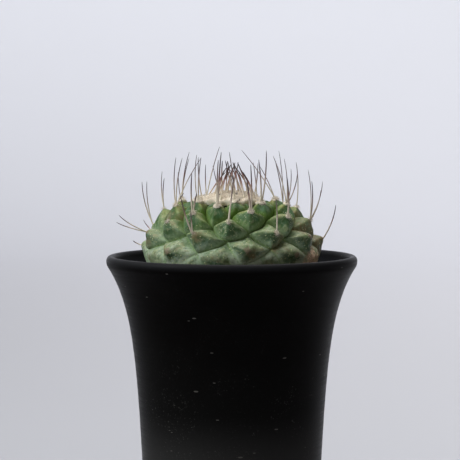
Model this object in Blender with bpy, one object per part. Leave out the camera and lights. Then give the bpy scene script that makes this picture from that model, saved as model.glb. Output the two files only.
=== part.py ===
"""A strombocactus in a flared matt black pot.

The plant is a flattened globe of spiral tubercles with bristly spines and a woolly crown.
Its taproot stands in a plain hole in the grit. Metres, +Z up, the origin on the surface that
the pot stands on, at the middle of its foot.
"""

import math
import random

import bmesh
import bpy
from mathutils import Vector

MM = 0.001
TURN = 2 * math.pi

# Pot
POT_HEIGHT = 96 * MM
RIM_RADIUS = 45 * MM
LIP_RISE = 1.9 * MM
LIP_MIDDLE = 43.45 * MM
LIP_STEP = 30
LIP_DROP_OUTSIDE = 0.8 * MM
LIP_DROP_INSIDE = 1.2 * MM
WALL = 3 * MM
BODY_RADIUS = 35.14 * MM
BODY_TAPER = 0.0462
FLARE = 10.2 * MM
FLARE_REACH = 15.6 * MM
FOOT_EDGE = 1.2 * MM
FOOT_RING = 4.5 * MM
FOOT_RECESS = 1.8 * MM
FOOT_BEVEL = 0.5 * MM
FLOOR_TOP = 6 * MM
FLOOR_ROUND = 2 * MM
DRAIN_RADIUS = 6 * MM
NOTCHES = 3
NOTCH_WIDTH = 7 * MM
NOTCH_HEIGHT = 1.2 * MM
POT_SEGMENTS = 56
OUTSIDE_RINGS = 12
INSIDE_RINGS = 6
RING_CROWDING = 1.6
SHARP_EDGE = math.radians(40)

# Fits
GAP = 0.3 * MM
ROOT_GAP = 0.5 * MM

# Net over the drain hole
NET_RADIUS = 11 * MM
NET_THICKNESS = 1 * MM
NET_MESH = 3.4 * MM
NET_HOLE = 2.2 * MM
NET_SEGMENTS = 32

# Soil
SOIL_TOP = POT_HEIGHT - 7.2 * MM
PEBBLES = 60
PEBBLE_RADII = (1.5 * MM, 2.4 * MM)
PEBBLE_FLATNESS = 0.8
PEBBLE_ROUGHNESS = 0.18
PEBBLE_SEED = 5
SOIL_SEGMENTS = 42
ROOT_HOLE_STEPS = 13

# Cactus, as (radius, height over the soil) from the crown down to the end of the taproot
MERIDIAN = [
    (0, 27.2),
    (10, 27.2),
    (18.2, 26.8),
    (23.6, 24.2),
    (27.4, 20.8),
    (30, 16.8),
    (31.9, 12.6),
    (32.1, 8.6),
    (30.4, 4.4),
    (29.4, 0),
    (28.4, -3.6),
    (24, -7.4),
    (15, -10),
    (9.5, -15),
    (6.5, -24),
    (3.6, -33),
    (0, -40),
]
GOLDEN_ANGLE = math.radians(137.508)
FIRST_ANGLE = math.radians(-2.9) + 41 * GOLDEN_ANGLE
ROW_EIGHT = 8
ROW_THIRTEEN = 13
HALF_CELL = (ROW_EIGHT + ROW_THIRTEEN) / 2
PITCH = 0.68 * MM
PITCH_GROWTH = 0.0006 * MM
EVEN_FROM = 8.6
FIRST_TUBERCLE = 5
LAST_TUBERCLE = 72
RELIEF = 6 * MM
CROWN_RELIEF = 2 * MM
CREASES_DEEPEN = (8 * MM, 16 * MM)
CREASES_FADE = (36 * MM, 47 * MM)
TUBERCLES_RISE = (10.3 * MM, 15 * MM)
TIP_LIFT = 0.12
CREASE_BOW = 1 * MM
CREASE_RISE = 2.3
CREASES_RISE = (45, 53)
MERIDIAN_STEPS = 12
CELL_STEPS = 4
CELL_CROWDING = 0.7
ROOT_RINGS = 9
# Form of a tubercle, as the straight share of its fall from the tip, and the power of the rest of it.
# The old ones are flatter and less ridged, and their tips stand out as small noses down to the last rows.
BLUNT_TIP = 0.14
ROUNDING = 2.6
FULLNESS = 0.65
NOSE = 0.9 * MM
NOSE_REACH = 0.42
LAST_NOSES = (62, 58)
VALLEY = 0.2
VALLEYS_ROUND = (20 * MM, 37 * MM)
ABOVE_POWER = 1.05
ABOVE_AGES = 0.4
BELOW_FALL = 0.85
BELOW_AGES = -0.1
SIDE_FALL = 0.5
SIDE_AGES = 0.3
KEEL_FALL = 0.5
PLUMPNESS = 6
SIDE_PLUMPNESS = 4
FACE_TURNS = (-0.3, 0.2)
RIDGE_WIDTH = 0.25
RIDGE_AGES = 0.1
KEEL_WIDTH = 0.3
FLATTENING = (40, 56)
# Tubercles that stand off the even spiral: how far round, in degrees, and how far down, in rows
DRIFT = {
    25: (-3, 1.2),
    28: (0.5, 1.4),
    33: (-1.4, 1.6),
    36: (1.5, 0.4),
    38: (-1.5, 1.2),
    39: (-8, -3),
    41: (0, 1.0),
    44: (1.5, -1.2),
    46: (0.6, 2.4),
    49: (-4, -0.6),
    51: (-1, 0.4),
    52: (0, -2.2),
    54: (-0.6, 3.0),
    56: (-3, -2.0),
    57: (-1, 1.0),
    59: (1.8, 0.5),
    60: (0, -3.0),
}
# Crossings of creases that lie off the even spiral, by their own place in it, in the same measures
BENT = {
    30.5: (-2, 0.9),
    35.5: (0, -1.5),
    38.5: (3.2, 1.0),
    40.5: (-6.5, 0),
    46.5: (1.2, -0.6),
    48.5: (-4.0, 0),
    51.5: (3.0, -1.1),
    54.5: (4.5, -3.0),
    56.5: (2.3, 0),
    59.5: (3.5, 0),
    62.5: (1.0, -3.0),
}

# Wool on the crown and on the areoles
WOOL_RADIUS = 10.2 * MM
WOOL_HEIGHT = 4.7 * MM
WOOL_SIDE = 2 * MM
WOOL_DOME_POWER = 2.4
WOOL_LOBES = 13
LOBE_DEPTH = 0.05
WOOL_UNEVENNESS = 0.03
WOOL_RIPPLE = 0.35 * MM
WOOL_FOOT = 0.93
WOOL_SEGMENTS = 39
WOOL_RINGS = 6
TUFT_RADIUS = 1 * MM
TUFT_SINK = 0.25 * MM
LAST_TUFT = 46

# Spines
SPINE_SEED = 11
SPINE_BASE = 0.26 * MM
SPINE_TAPER = 0.45
SPINE_COLLAR = 0.3 * MM
ROOT_SPACING = 0.35 * MM
SPINE_STEPS = 3
SPINE_SINK = 1.2 * MM
SPINE_CLEAR = 0.9 * MM
SPINE_TRIES = 40
SPINE_BOW = 0.04
SPINE_TILT = 0.12
SPINE_SPREAD = 0.26
BODY_SPINE = (13 * MM, 17 * MM)
CROWN_SPINE = (9.5 * MM, 12.5 * MM)
OLD_SPINE_LOSS = 3 * MM
OLD_SPINE_LEAN = 0.9
CROWN_SPINE_LEAN = -0.6
AGEING = (38, 56)
FIRST_SPINY = 2
FIRST_ON_BODY = 18
LAST_SPINY = 60
# Spines that show at the front and the sides: how far each tip lies to +X of its root, and above it
SPRAYS = {
    22: [],
    23: [(0.9, 15.5)],
    25: [(-0.8, 15.2), (1.6, 18.4)],
    26: [(2.6, 17.4), (2.4, 15.0)],
    27: [(-12.4, 18.0), (-5.6, 12.2)],
    28: [(0.5, 16.0), (1.2, 18.7)],
    29: [(-0.4, 13.0), (5.0, 19.5)],
    30: [(-4.7, 17.1), (-0.9, 16.2), (1.4, 12.6), (3.5, 10.6)],
    31: [(0.1, 17.0), (2.2, 16.8), (2.6, 4.4)],
    33: [(-0.2, 16.3), (-1.2, 11.0)],
    34: [(8.9, 17.2)],
    35: [(-0.1, 16.4)],
    36: [(-0.2, 14.0), (1.2, 7.0)],
    38: [(-0.5, 14.6)],
    39: [(-0.7, 13.6), (0.1, 11.2)],
    40: [(-2.8, 17.8), (-1.4, 22.4)],
    41: [(2.0, 16.5)],
    43: [(-0.7, 18.0), (0.6, 13.8), (4.4, 13.7)],
    44: [],
    46: [(-0.2, 11.8)],
    47: [(-4.0, 15.4), (-2.1, 15.6)],
    49: [(-3.9, 13.0), (-0.6, 8.0)],
    51: [],
    52: [(-9.8, 6.0), (-10.6, 3.4)],
    54: [],
    56: [(4.5, 12.0)],
    57: [],
    59: [],
    60: [(-3.0, 1.6)],
}


def material(name, colour, roughness, metallic=0.0):
    made = bpy.data.materials.new(name)
    made.use_nodes = True
    shader = made.node_tree.nodes["Principled BSDF"]
    shader.inputs["Base Color"].default_value = (*colour, 1)
    shader.inputs["Roughness"].default_value = roughness
    shader.inputs["Metallic"].default_value = metallic
    made.diffuse_color = (*colour, 1)
    return made


def add_object(name, bm, finish=None):
    """A new object of this bmesh, its faces turned outwards."""
    bmesh.ops.recalc_face_normals(bm, faces=bm.faces)
    mesh = bpy.data.meshes.new(name)
    bm.to_mesh(mesh)
    bm.free()
    made = bpy.data.objects.new(name, mesh)
    bpy.context.collection.objects.link(made)
    if finish:
        mesh.materials.append(finish)
    return made


def smoothstep(value, low, high):
    share = min(max((value - low) / (high - low), 0), 1)
    return share * share * (3 - 2 * share)


def turned(profile, segments, closed):
    """A bmesh of a profile of (radius, height) points spun round the Z axis."""
    bm = bmesh.new()
    corners = [bm.verts.new((radius, 0, height)) for radius, height in profile]
    pairs = list(zip(corners, corners[1:]))
    if closed:
        pairs.append((corners[-1], corners[0]))
    edges = [bm.edges.new(pair) for pair in pairs]
    bmesh.ops.spin(
        bm,
        geom=corners + edges,
        cent=(0, 0, 0),
        axis=(0, 0, 1),
        angle=TURN,
        steps=segments,
        use_merge=True,
    )
    bmesh.ops.remove_doubles(bm, verts=bm.verts, dist=1e-7)
    return bm


def fuse(base, helpers):
    """Joins the helper objects into the base with one Boolean union, and removes them."""
    group = bpy.data.collections.new(base.name + "_repeats")
    bpy.context.scene.collection.children.link(group)
    for helper in helpers:
        bpy.context.collection.objects.unlink(helper)
        group.objects.link(helper)
    union = base.modifiers.new("repeats", "BOOLEAN")
    union.operation = "UNION"
    union.operand_type = "COLLECTION"
    union.collection = group
    union.solver = "EXACT"
    bpy.context.view_layer.update()
    graph = bpy.context.evaluated_depsgraph_get()
    joined = bpy.data.meshes.new_from_object(base.evaluated_get(graph))
    base.modifiers.clear()
    base.data = joined
    for helper in helpers:
        bpy.data.objects.remove(helper)
    bpy.data.collections.remove(group)


def outer_radius(height):
    """The pot's outside: a slightly tapered body that flares to the rim."""
    depth = POT_HEIGHT - LIP_RISE - height
    return BODY_RADIUS - BODY_TAPER * depth + FLARE * math.exp(-depth / FLARE_REACH)


def inner_radius(height):
    return outer_radius(height) - WALL


def wall_heights(low, high, count):
    """Heights from low to high, closer together towards the flare at the top."""
    return [high - (high - low) * (step / count) ** RING_CROWDING for step in range(count, -1, -1)]


def pot_outline():
    lip_base = POT_HEIGHT - LIP_RISE
    heights = wall_heights(FOOT_EDGE, lip_base - LIP_DROP_OUTSIDE, OUTSIDE_RINGS)
    outside = [(outer_radius(z), z) for z in heights]
    lip = []
    for degrees in range(0, 181, LIP_STEP):
        angle = math.radians(degrees)
        half = RIM_RADIUS - LIP_MIDDLE
        lip.append((LIP_MIDDLE + half * math.cos(angle), lip_base + LIP_RISE * math.sin(angle)))
    inside = [(inner_radius(z), z) for z in inner_heights()]
    corner = (inside[-1][0] - FLOOR_ROUND, FLOOR_TOP)
    foot = outer_radius(0)
    underside = [
        (DRAIN_RADIUS, FLOOR_TOP),
        (DRAIN_RADIUS, FOOT_RECESS),
        (foot - FOOT_RING - FOOT_BEVEL, FOOT_RECESS),
        (foot - FOOT_RING, 0),
        (foot - FOOT_EDGE, 0),
    ]
    return outside + lip + inside + [corner] + underside


def inner_heights():
    """Heights of the inner wall's corners, from under the lip down to the floor's round."""
    below_lip = POT_HEIGHT - LIP_RISE - LIP_DROP_INSIDE
    over_floor = FLOOR_TOP + FLOOR_ROUND
    return [below_lip] + wall_heights(over_floor, SOIL_TOP, INSIDE_RINGS)[::-1]


def make_pot():
    glaze = material("black_pot_clay", (0.012, 0.012, 0.013), 0.62)
    pot = add_object("pot", turned(pot_outline(), POT_SEGMENTS, True), glaze)
    for number in range(NOTCHES):
        angle = TURN * (number + 0.5) / NOTCHES
        bm = bmesh.new()
        bmesh.ops.create_cube(bm, size=1)
        cutter = add_object(f"notch_cutter_{number}", bm)
        cutter.scale = (3 * FOOT_RING, NOTCH_WIDTH, 2 * NOTCH_HEIGHT)
        cutter.rotation_euler.z = angle
        reach = outer_radius(0) - FOOT_RING / 2
        cutter.location = (reach * math.cos(angle), reach * math.sin(angle), 0)
        cutter.hide_render = True
        cutter.display_type = "WIRE"
        cut = pot.modifiers.new(f"notch_{number}", "BOOLEAN")
        cut.operation = "DIFFERENCE"
        cut.object = cutter
        cut.solver = "EXACT"
    pot.data.shade_smooth()
    pot.data.set_sharp_from_angle(angle=SHARP_EDGE)


def make_drain_net():
    """A round plastic net: a disc with a grid of square holes."""
    plastic = material("green_plastic_net", (0.05, 0.12, 0.07), 0.5)
    low = FLOOR_TOP + GAP
    outline = [(0, low + NET_THICKNESS), (NET_RADIUS, low + NET_THICKNESS), (NET_RADIUS, low), (0, low)]
    net = add_object("drain_net", turned(outline, NET_SEGMENTS, False), plastic)
    bm = bmesh.new()
    reach = int(NET_RADIUS / NET_MESH)
    for column in range(-reach, reach + 1):
        for row in range(-reach, reach + 1):
            centre = Vector((column * NET_MESH, row * NET_MESH, low + NET_THICKNESS / 2))
            if math.hypot(centre.x, centre.y) + NET_HOLE < NET_RADIUS:
                made = bmesh.ops.create_cube(bm, size=1)["verts"]
                bmesh.ops.scale(bm, verts=made, vec=(NET_HOLE, NET_HOLE, 3 * NET_THICKNESS))
                bmesh.ops.translate(bm, verts=made, vec=centre)
    cutter = add_object("net_cutter", bm)
    cutter.hide_render = True
    cutter.display_type = "WIRE"
    cut = net.modifiers.new("mesh_holes", "BOOLEAN")
    cut.operation = "DIFFERENCE"
    cut.object = cutter
    cut.solver = "EXACT"


def smooth_meridian():
    """Points along the curve through MERIDIAN, each with its distance from the crown."""
    marks = [Vector((radius * MM, SOIL_TOP + height * MM)) for radius, height in MERIDIAN]
    first = Vector((-marks[1].x, marks[1].y))
    last = 2 * marks[-1] - marks[-2]
    padded = [first, *marks, last]
    points = []
    for a, b, c, d in zip(padded, padded[1:], padded[2:], padded[3:]):
        for step in range(MERIDIAN_STEPS):
            t = step / MERIDIAN_STEPS
            curve = 2 * b + (c - a) * t + (2 * a - 5 * b + 4 * c - d) * t**2
            points.append((curve + (3 * b - a - 3 * c + d) * t**3) / 2)
    points.append(marks[-1])
    lengths = [0.0]
    for here, ahead in zip(points, points[1:]):
        lengths.append(lengths[-1] + (ahead - here).length)
    return points, lengths


MERIDIAN_POINTS, MERIDIAN_LENGTHS = smooth_meridian()


def on_meridian(distance):
    """(point, outward normal) in the radius and height plane, this far from the crown's middle."""
    distance = min(max(distance, 0), MERIDIAN_LENGTHS[-1] - 1e-9)
    index = 1
    while MERIDIAN_LENGTHS[index] < distance:
        index += 1
    before, after = MERIDIAN_POINTS[index - 1], MERIDIAN_POINTS[index]
    span = MERIDIAN_LENGTHS[index] - MERIDIAN_LENGTHS[index - 1]
    share = (distance - MERIDIAN_LENGTHS[index - 1]) / span
    along = (after - before).normalized()
    return before.lerp(after, share), Vector((-along.y, along.x))


def on_plant(distance, angle, depth):
    """A point of the plant, and the outward direction there. Angle 0 faces -Y."""
    flat, normal = on_meridian(distance)
    flat = flat - normal * depth
    round_way = Vector((math.sin(angle), -math.cos(angle), 0))
    point = round_way * max(flat.x, 0) + Vector((0, 0, flat.y))
    return point, round_way * normal.x + Vector((0, 0, normal.y))


def arc_of(index):
    """Distance of a tubercle from the crown's middle. Near it the steps shrink, and stay positive."""
    even = PITCH * EVEN_FROM + PITCH_GROWTH * EVEN_FROM**2
    if index < EVEN_FROM:
        return even * math.exp((index - EVEN_FROM) * PITCH / even)
    return PITCH * index + PITCH_GROWTH * index**2


def angle_of(index):
    return FIRST_ANGLE - index * GOLDEN_ANGLE


def wrapped(angle):
    return (angle + math.pi) % TURN - math.pi


STEP_EIGHT = wrapped(-ROW_EIGHT * GOLDEN_ANGLE)
STEP_THIRTEEN = wrapped(-ROW_THIRTEEN * GOLDEN_ANGLE)


def crease_depth(distance):
    """Depth of the creases under the tubercles' tips: shallow at the crown, gone at the soil."""
    risen = smoothstep(distance, *CREASES_DEEPEN)
    faded = 1 - smoothstep(distance, *CREASES_FADE)
    return (CROWN_RELIEF + (RELIEF - CROWN_RELIEF) * risen) * faded


def tubercle_rise(distance):
    """Share of the relief that a tubercle has here: none under the crown's wool."""
    return smoothstep(distance, *TUBERCLES_RISE)


def falling(out, straight, power):
    """From 1 at a tubercle's tip to 0 in the crease: a straight fall, and the rest near the crease."""
    return 1 - straight * out - (1 - straight) * out**power


def rounded(eight, thirteen):
    """How far a point is from its tubercle's tip, 0 to 1, with the ridges between its faces rounded."""
    one, other = 1 - abs(eight), 1 - abs(thirteen)
    size = (one**ROUNDING + other**ROUNDING) ** (1 / ROUNDING)
    return 1 - 2 ** (1 / ROUNDING) * one * other / size if size else 1


def tubercle_form(edge, way, old):
    """A tubercle's height over its creases: steep above, ridged to both sides, keeled and plump below.

    Edge is 0 at the tip and 1 in the crease, and way is -1 above the tip, 0 beside it and 1 below.
    """
    out = (math.hypot(edge, BLUNT_TIP) - BLUNT_TIP) / (math.hypot(1, BLUNT_TIP) - BLUNT_TIP)
    above = max(1 - out, 0) ** (ABOVE_POWER + ABOVE_AGES * old)
    below = falling(out, BELOW_FALL + BELOW_AGES * old, PLUMPNESS)
    side = falling(out, SIDE_FALL + SIDE_AGES * old, SIDE_PLUMPNESS)
    keel = falling(out, KEEL_FALL, PLUMPNESS)
    form = above + (below - above) * smoothstep(way, *FACE_TURNS)
    form += (side - form) * math.exp(-((way / (RIDGE_WIDTH + RIDGE_AGES * old)) ** 2))
    form += (keel - form) * math.exp(-(((1 - way) / KEEL_WIDTH) ** 2))
    return max(form, 0) ** FULLNESS


def bent(index, eight, thirteen, edge):
    """How far round, and how far down in rows, the four crossings at a cell's corners move a point."""
    turned_by, rows = 0, 0
    for down, over in ((-1, -1), (-1, 1), (1, -1), (1, 1)):
        turn, fall = BENT.get(index + (down * ROW_EIGHT + over * ROW_THIRTEEN) / 2, (0, 0))
        near = (1 + down * eight) * (1 + over * thirteen) / 4 * edge
        turned_by += math.radians(turn) * near
        rows += fall * near
    return turned_by, rows


def on_cell(index, eight, thirteen):
    """A point of a tubercle, -1 to 1 along the rows that step by 8 and by 13, and outwards there.

    The cell's edges are creases. Its tip is at (0, 0), a little above the middle of the cell.
    """
    edge = max(abs(eight), abs(thirteen))
    turn, rows = DRIFT.get(index, (0, 0))
    row = index + HALF_CELL * TIP_LIFT
    angle = angle_of(index) + math.radians(turn) * (1 - edge)
    for place, step, rise in ((eight, STEP_EIGHT, ROW_EIGHT), (thirteen, STEP_THIRTEEN, ROW_THIRTEEN)):
        across = place - TIP_LIFT * (1 - place**2)
        row += rise * across / 2
        angle += step * across / 2
    row += rows * (1 - edge) - CREASE_RISE * smoothstep(row, *CREASES_RISE) * edge
    turned_by, fall = bent(index, eight, thirteen, edge)
    bow = eight**2 * (1 - thirteen**2) + thirteen**2 * (1 - eight**2)
    distance = arc_of(row + fall) + CREASE_BOW * bow
    way = (eight + thirteen) / 2 / edge if edge else 0
    out, old = rounded(eight, thirteen), smoothstep(index, *FLATTENING)
    form = tubercle_form(out, way, old)
    nose = NOSE * old * smoothstep(index, *LAST_NOSES) * smoothstep(NOSE_REACH - out, 0, NOSE_REACH)
    form = math.hypot(form * tubercle_rise(distance), VALLEY * smoothstep(distance, *VALLEYS_ROUND))
    depth = crease_depth(distance) * (1 - form) - nose
    return on_plant(distance, angle + turned_by, depth)


def tubercle_tip(index):
    return on_cell(index, 0, 0)


def crowded(share):
    """A grid line's place in a cell, nearer to the creases than an even share."""
    return math.copysign(abs(share) ** CELL_CROWDING, share)


def make_cells(bm):
    """The tubercles' cells, each a small grid that shares its edges with its neighbours."""
    known = {}
    half = CELL_STEPS // 2

    def corner(index, i, j):
        """Grid corners by their place in the whole lattice, so that cells share them."""
        lattice = index * CELL_STEPS + ROW_EIGHT * (i - half) + ROW_THIRTEEN * (j - half)
        on_edge = i in (0, CELL_STEPS) or j in (0, CELL_STEPS)
        place = on_cell(index, crowded(i / half - 1), crowded(j / half - 1))[0]
        key = (lattice, round(place.x, 6), round(place.y, 6)) if on_edge else (index, i, j)
        if key not in known:
            known[key] = bm.verts.new(place)
        return known[key]

    for index in range(FIRST_TUBERCLE, LAST_TUBERCLE + 1):
        for i in range(CELL_STEPS):
            for j in range(CELL_STEPS):
                a, b = corner(index, i, j), corner(index, i + 1, j)
                c, d = corner(index, i + 1, j + 1), corner(index, i, j + 1)
                if (i < half) == (j < half):
                    bm.faces.new((a, b, c))
                    bm.faces.new((a, c, d))
                else:
                    bm.faces.new((a, b, d))
                    bm.faces.new((b, c, d))


def close_top(bm, loop):
    """Closes the crown with a flat fan, under the wool."""
    middle = bm.verts.new(on_plant(0, 0, CROWN_RELIEF)[0])
    for here, ahead in zip(loop, loop[1:] + loop[:1]):
        bm.faces.new((here, ahead, middle))


def close_root(bm, loop):
    """Continues the body below the soil's surface down to the end of the taproot."""
    low = MERIDIAN_LENGTHS[-1]
    start = arc_of(LAST_TUBERCLE + HALF_CELL * (1 + TIP_LIFT) + 1)
    half = CELL_STEPS // 2
    around = loop[::half]
    angles = [math.atan2(vert.co.x, -vert.co.y) for vert in around]
    ring = [bm.verts.new(on_plant(start, angle, 0)[0]) for angle in angles]
    count = len(around)
    for place in range(count):
        span = loop[place * half : (place + 1) * half + 1]
        if len(span) <= half:
            span = span + [loop[0]]
        ahead = ring[(place + 1) % count]
        for upper, upper_next in zip(span, span[1:]):
            bm.faces.new((upper, upper_next, ring[place]))
        bm.faces.new((span[-1], ahead, ring[place]))
    for step in range(1, ROOT_RINGS):
        distance = start + (low - start) * step / ROOT_RINGS
        lower = [bm.verts.new(on_plant(distance, angle, 0)[0]) for angle in angles]
        for place in range(count):
            after = (place + 1) % count
            bm.faces.new((ring[place], ring[after], lower[after], lower[place]))
        ring = lower
    end = bm.verts.new(on_plant(low, 0, 0)[0])
    for place in range(count):
        bm.faces.new((ring[place], ring[(place + 1) % count], end))


def open_loops(bm):
    """The open edges as loops of vertices, each in order round the plant."""
    rims = {vert for edge in bm.edges if edge.is_boundary for vert in edge.verts}
    middle = SOIL_TOP + 10 * MM
    top = [vert for vert in rims if vert.co.z > middle]
    low = [vert for vert in rims if vert.co.z <= middle]
    return [sorted(side, key=lambda vert: math.atan2(vert.co.x, -vert.co.y)) for side in (top, low)]


def make_plant_body(finish):
    bm = bmesh.new()
    make_cells(bm)
    top, low = open_loops(bm)
    close_top(bm, top)
    close_root(bm, low)
    return add_object("cactus", bm, finish)


def crown_surface(share, angle):
    """The wool's top: a low dome with a scalloped edge, from its middle (0) to its edge (1)."""
    lobes = LOBE_DEPTH * math.cos(WOOL_LOBES * angle) + WOOL_UNEVENNESS * math.cos(5 * angle + 1)
    radius = WOOL_RADIUS * share * (1 + lobes * share**2)
    dome = WOOL_SIDE + (WOOL_HEIGHT - WOOL_SIDE) * (1 - share**WOOL_DOME_POWER)
    dome += WOOL_RIPPLE * math.sin(8 * angle + 9 * share) * share
    return Vector((radius * math.sin(angle), -radius * math.cos(angle), crown_base() + dome))


def crown_base():
    return on_plant(0, 0, CROWN_RELIEF)[0].z + GAP


def make_wool(finish):
    bm = bmesh.new()
    angles = [TURN * step / WOOL_SEGMENTS for step in range(WOOL_SEGMENTS)]
    middle = bm.verts.new(crown_surface(0, 0))
    rings = []
    for step in range(1, WOOL_RINGS + 1):
        rings.append([bm.verts.new(crown_surface(step / WOOL_RINGS, angle)) for angle in angles])
    foot = []
    for vert in rings[-1]:
        foot.append(bm.verts.new((vert.co.x * WOOL_FOOT, vert.co.y * WOOL_FOOT, crown_base())))
    rings.append(foot)
    for place in range(WOOL_SEGMENTS):
        bm.faces.new((middle, rings[0][place], rings[0][place - 1]))
    for inner, outer in zip(rings, rings[1:]):
        for place in range(WOOL_SEGMENTS):
            bm.faces.new((inner[place - 1], inner[place], outer[place], outer[place - 1]))
    bm.faces.new(foot)
    return add_object("crown", bm, finish)


def spine_count(index, draw):
    """How many spines are left at this age: old tubercles have lost most of theirs."""
    if index < FIRST_ON_BODY:
        return draw.choice((1, 2))
    if index < AGEING[0]:
        return draw.choice((2, 2, 3))
    return draw.choice((1, 1, 2))


def drawn_spine(index, draw):
    """(root, way out of the plant, reach to the tip) of one spine, from the habit at this age."""
    if index < FIRST_ON_BODY:
        share = min(arc_of(index) / WOOL_RADIUS, 0.9)
        root = crown_surface(share, angle_of(index) + draw.uniform(-0.25, 0.25))
        out = Vector((0, 0, 1))
        lean = CROWN_SPINE_LEAN * share
        length = draw.uniform(*CROWN_SPINE)
    else:
        root, out = tubercle_tip(index)
        age = smoothstep(index, *AGEING)
        lean = OLD_SPINE_LEAN * age
        length = draw.uniform(*BODY_SPINE) - OLD_SPINE_LOSS * age
    lean += draw.uniform(-SPINE_SPREAD, SPINE_SPREAD) / 2
    outward = Vector((root.x, root.y, 0)).normalized()
    sideways = Vector((-outward.y, outward.x, 0))
    aim = Vector((0, 0, 1)) + outward * math.tan(lean) + sideways * draw.uniform(-SPINE_SPREAD, SPINE_SPREAD)
    return root, out, aim.normalized() * length


def seen_spine(index, place, right, up):
    """(root, way out of the plant, reach to the tip) of a spine whose tip is known from the front."""
    root, out = tubercle_tip(index)
    sideways = Vector((-out.y, out.x, 0)).normalized() * ROOT_SPACING * place
    return root + sideways, out, Vector((right * MM, SPINE_TILT * out.y * up * MM, up * MM))


def spine_path(root, out, reach):
    """A line from just under the surface to the tip, bowed outwards and down."""
    outward = Vector((root.x, root.y, 0)).normalized()
    length = reach.length
    bow = outward * length * SPINE_BOW * (1 + 2 * max(reach.normalized().dot(outward), 0))
    points = []
    for step in range(SPINE_STEPS + 1):
        share = step / SPINE_STEPS
        points.append(root + reach * share + bow * 4 * share * (1 - share))
    start = (points[1] - points[0]).normalized()
    return [root - out * SPINE_SINK, root + start * SPINE_COLLAR, *points[1:]]


def along(path):
    """Points close together along a spine, without its root."""
    return [a.lerp(b, step / 6) for a, b in zip(path[1:], path[2:]) for step in range(1, 7)]


def all_spines():
    """Every spine as (tubercle, path). Drawn ones are drawn again while they would touch another."""
    made = []
    for index, tips in SPRAYS.items():
        for number, (right, up) in enumerate(sorted(tips)):
            place = number - (len(tips) - 1) / 2
            made.append((index, spine_path(*seen_spine(index, place, right, up))))
    for index in range(LAST_SPINY, FIRST_SPINY - 1, -1):
        if index in SPRAYS:
            continue
        draw = random.Random(SPINE_SEED * 1000 + index)
        for _ in range(spine_count(index, draw)):
            for _ in range(SPINE_TRIES):
                path = spine_path(*drawn_spine(index, draw))
                others = [point for _, other in made for point in along(other)]
                if all((a - b).length > SPINE_CLEAR for a in along(path) for b in others):
                    made.append((index, path))
                    break
    return made


def make_spine(name, path):
    """A three-sided needle along the path, drawn out to a point."""
    bm = bmesh.new()
    rings = []
    along = (path[1] - path[0]).normalized()
    side = along.cross(Vector((0.3, 1, 0.1))).normalized()
    across = along.cross(side)
    for step, point in enumerate(path[:-1]):
        radius = SPINE_BASE * (1 - SPINE_TAPER * step / (len(path) - 1))
        ring = []
        for corner in range(3):
            angle = TURN * corner / 3
            ring.append(bm.verts.new(point + (side * math.cos(angle) + across * math.sin(angle)) * radius))
        rings.append(ring)
    bm.faces.new(rings[0])
    for low, high in zip(rings, rings[1:]):
        for corner in range(3):
            bm.faces.new((low[corner - 1], low[corner], high[corner], high[corner - 1]))
    tip = bm.verts.new(path[-1])
    for corner in range(3):
        bm.faces.new((rings[-1][corner - 1], rings[-1][corner], tip))
    return add_object(name, bm)


def make_tuft(index):
    """A small woolly pad on a young tubercle's tip."""
    point, outward = tubercle_tip(index)
    bm = bmesh.new()
    bmesh.ops.create_icosphere(bm, subdivisions=1, radius=TUFT_RADIUS)
    bmesh.ops.rotate(bm, verts=bm.verts, matrix=outward.to_track_quat("Z", "Y").to_matrix())
    bmesh.ops.translate(bm, verts=bm.verts, vec=point - outward * TUFT_SINK)
    return add_object(f"tuft_{index}", bm)


def make_cactus_and_crown():
    green = material("cactus_skin", (0.11, 0.19, 0.08), 0.5)
    cream = material("crown_wool", (0.62, 0.52, 0.40), 0.9)
    cactus = make_plant_body(green)
    crown = make_wool(cream)
    on_body = [make_tuft(index) for index in range(FIRST_ON_BODY, LAST_TUFT + 1)]
    on_crown = []
    for number, (index, path) in enumerate(all_spines()):
        spine = make_spine(f"spine_{number}", path)
        (on_crown if index < FIRST_ON_BODY else on_body).append(spine)
    fuse(cactus, on_body)
    fuse(crown, on_crown)


def soil_outline():
    """The grit's section: its outer wall, the plain hole for the root, and room for the net."""
    wall = [(inner_radius(z) - GAP, z) for z in inner_heights()[1:]]
    floor = FLOOR_TOP + GAP
    corner = (wall[-1][0] - FLOOR_ROUND, floor)
    over_net = FLOOR_TOP + 2 * GAP + NET_THICKNESS
    hole = []
    length = MERIDIAN_LENGTHS[-1]
    start = next(d for d, p in zip(MERIDIAN_LENGTHS, MERIDIAN_POINTS) if p.y < SOIL_TOP)
    for step in range(ROOT_HOLE_STEPS + 1):
        flat, normal = on_meridian(start + (length - start) * step / ROOT_HOLE_STEPS)
        hole.append((flat + normal * ROOT_GAP).to_tuple())
    hole[0] = (hole[0][0], SOIL_TOP)
    hole[-1] = (0, hole[-1][1] - ROOT_GAP)
    under = [(0, over_net), (NET_RADIUS + GAP, over_net), (NET_RADIUS + GAP, floor), corner]
    return under + wall[::-1] + hole


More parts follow.
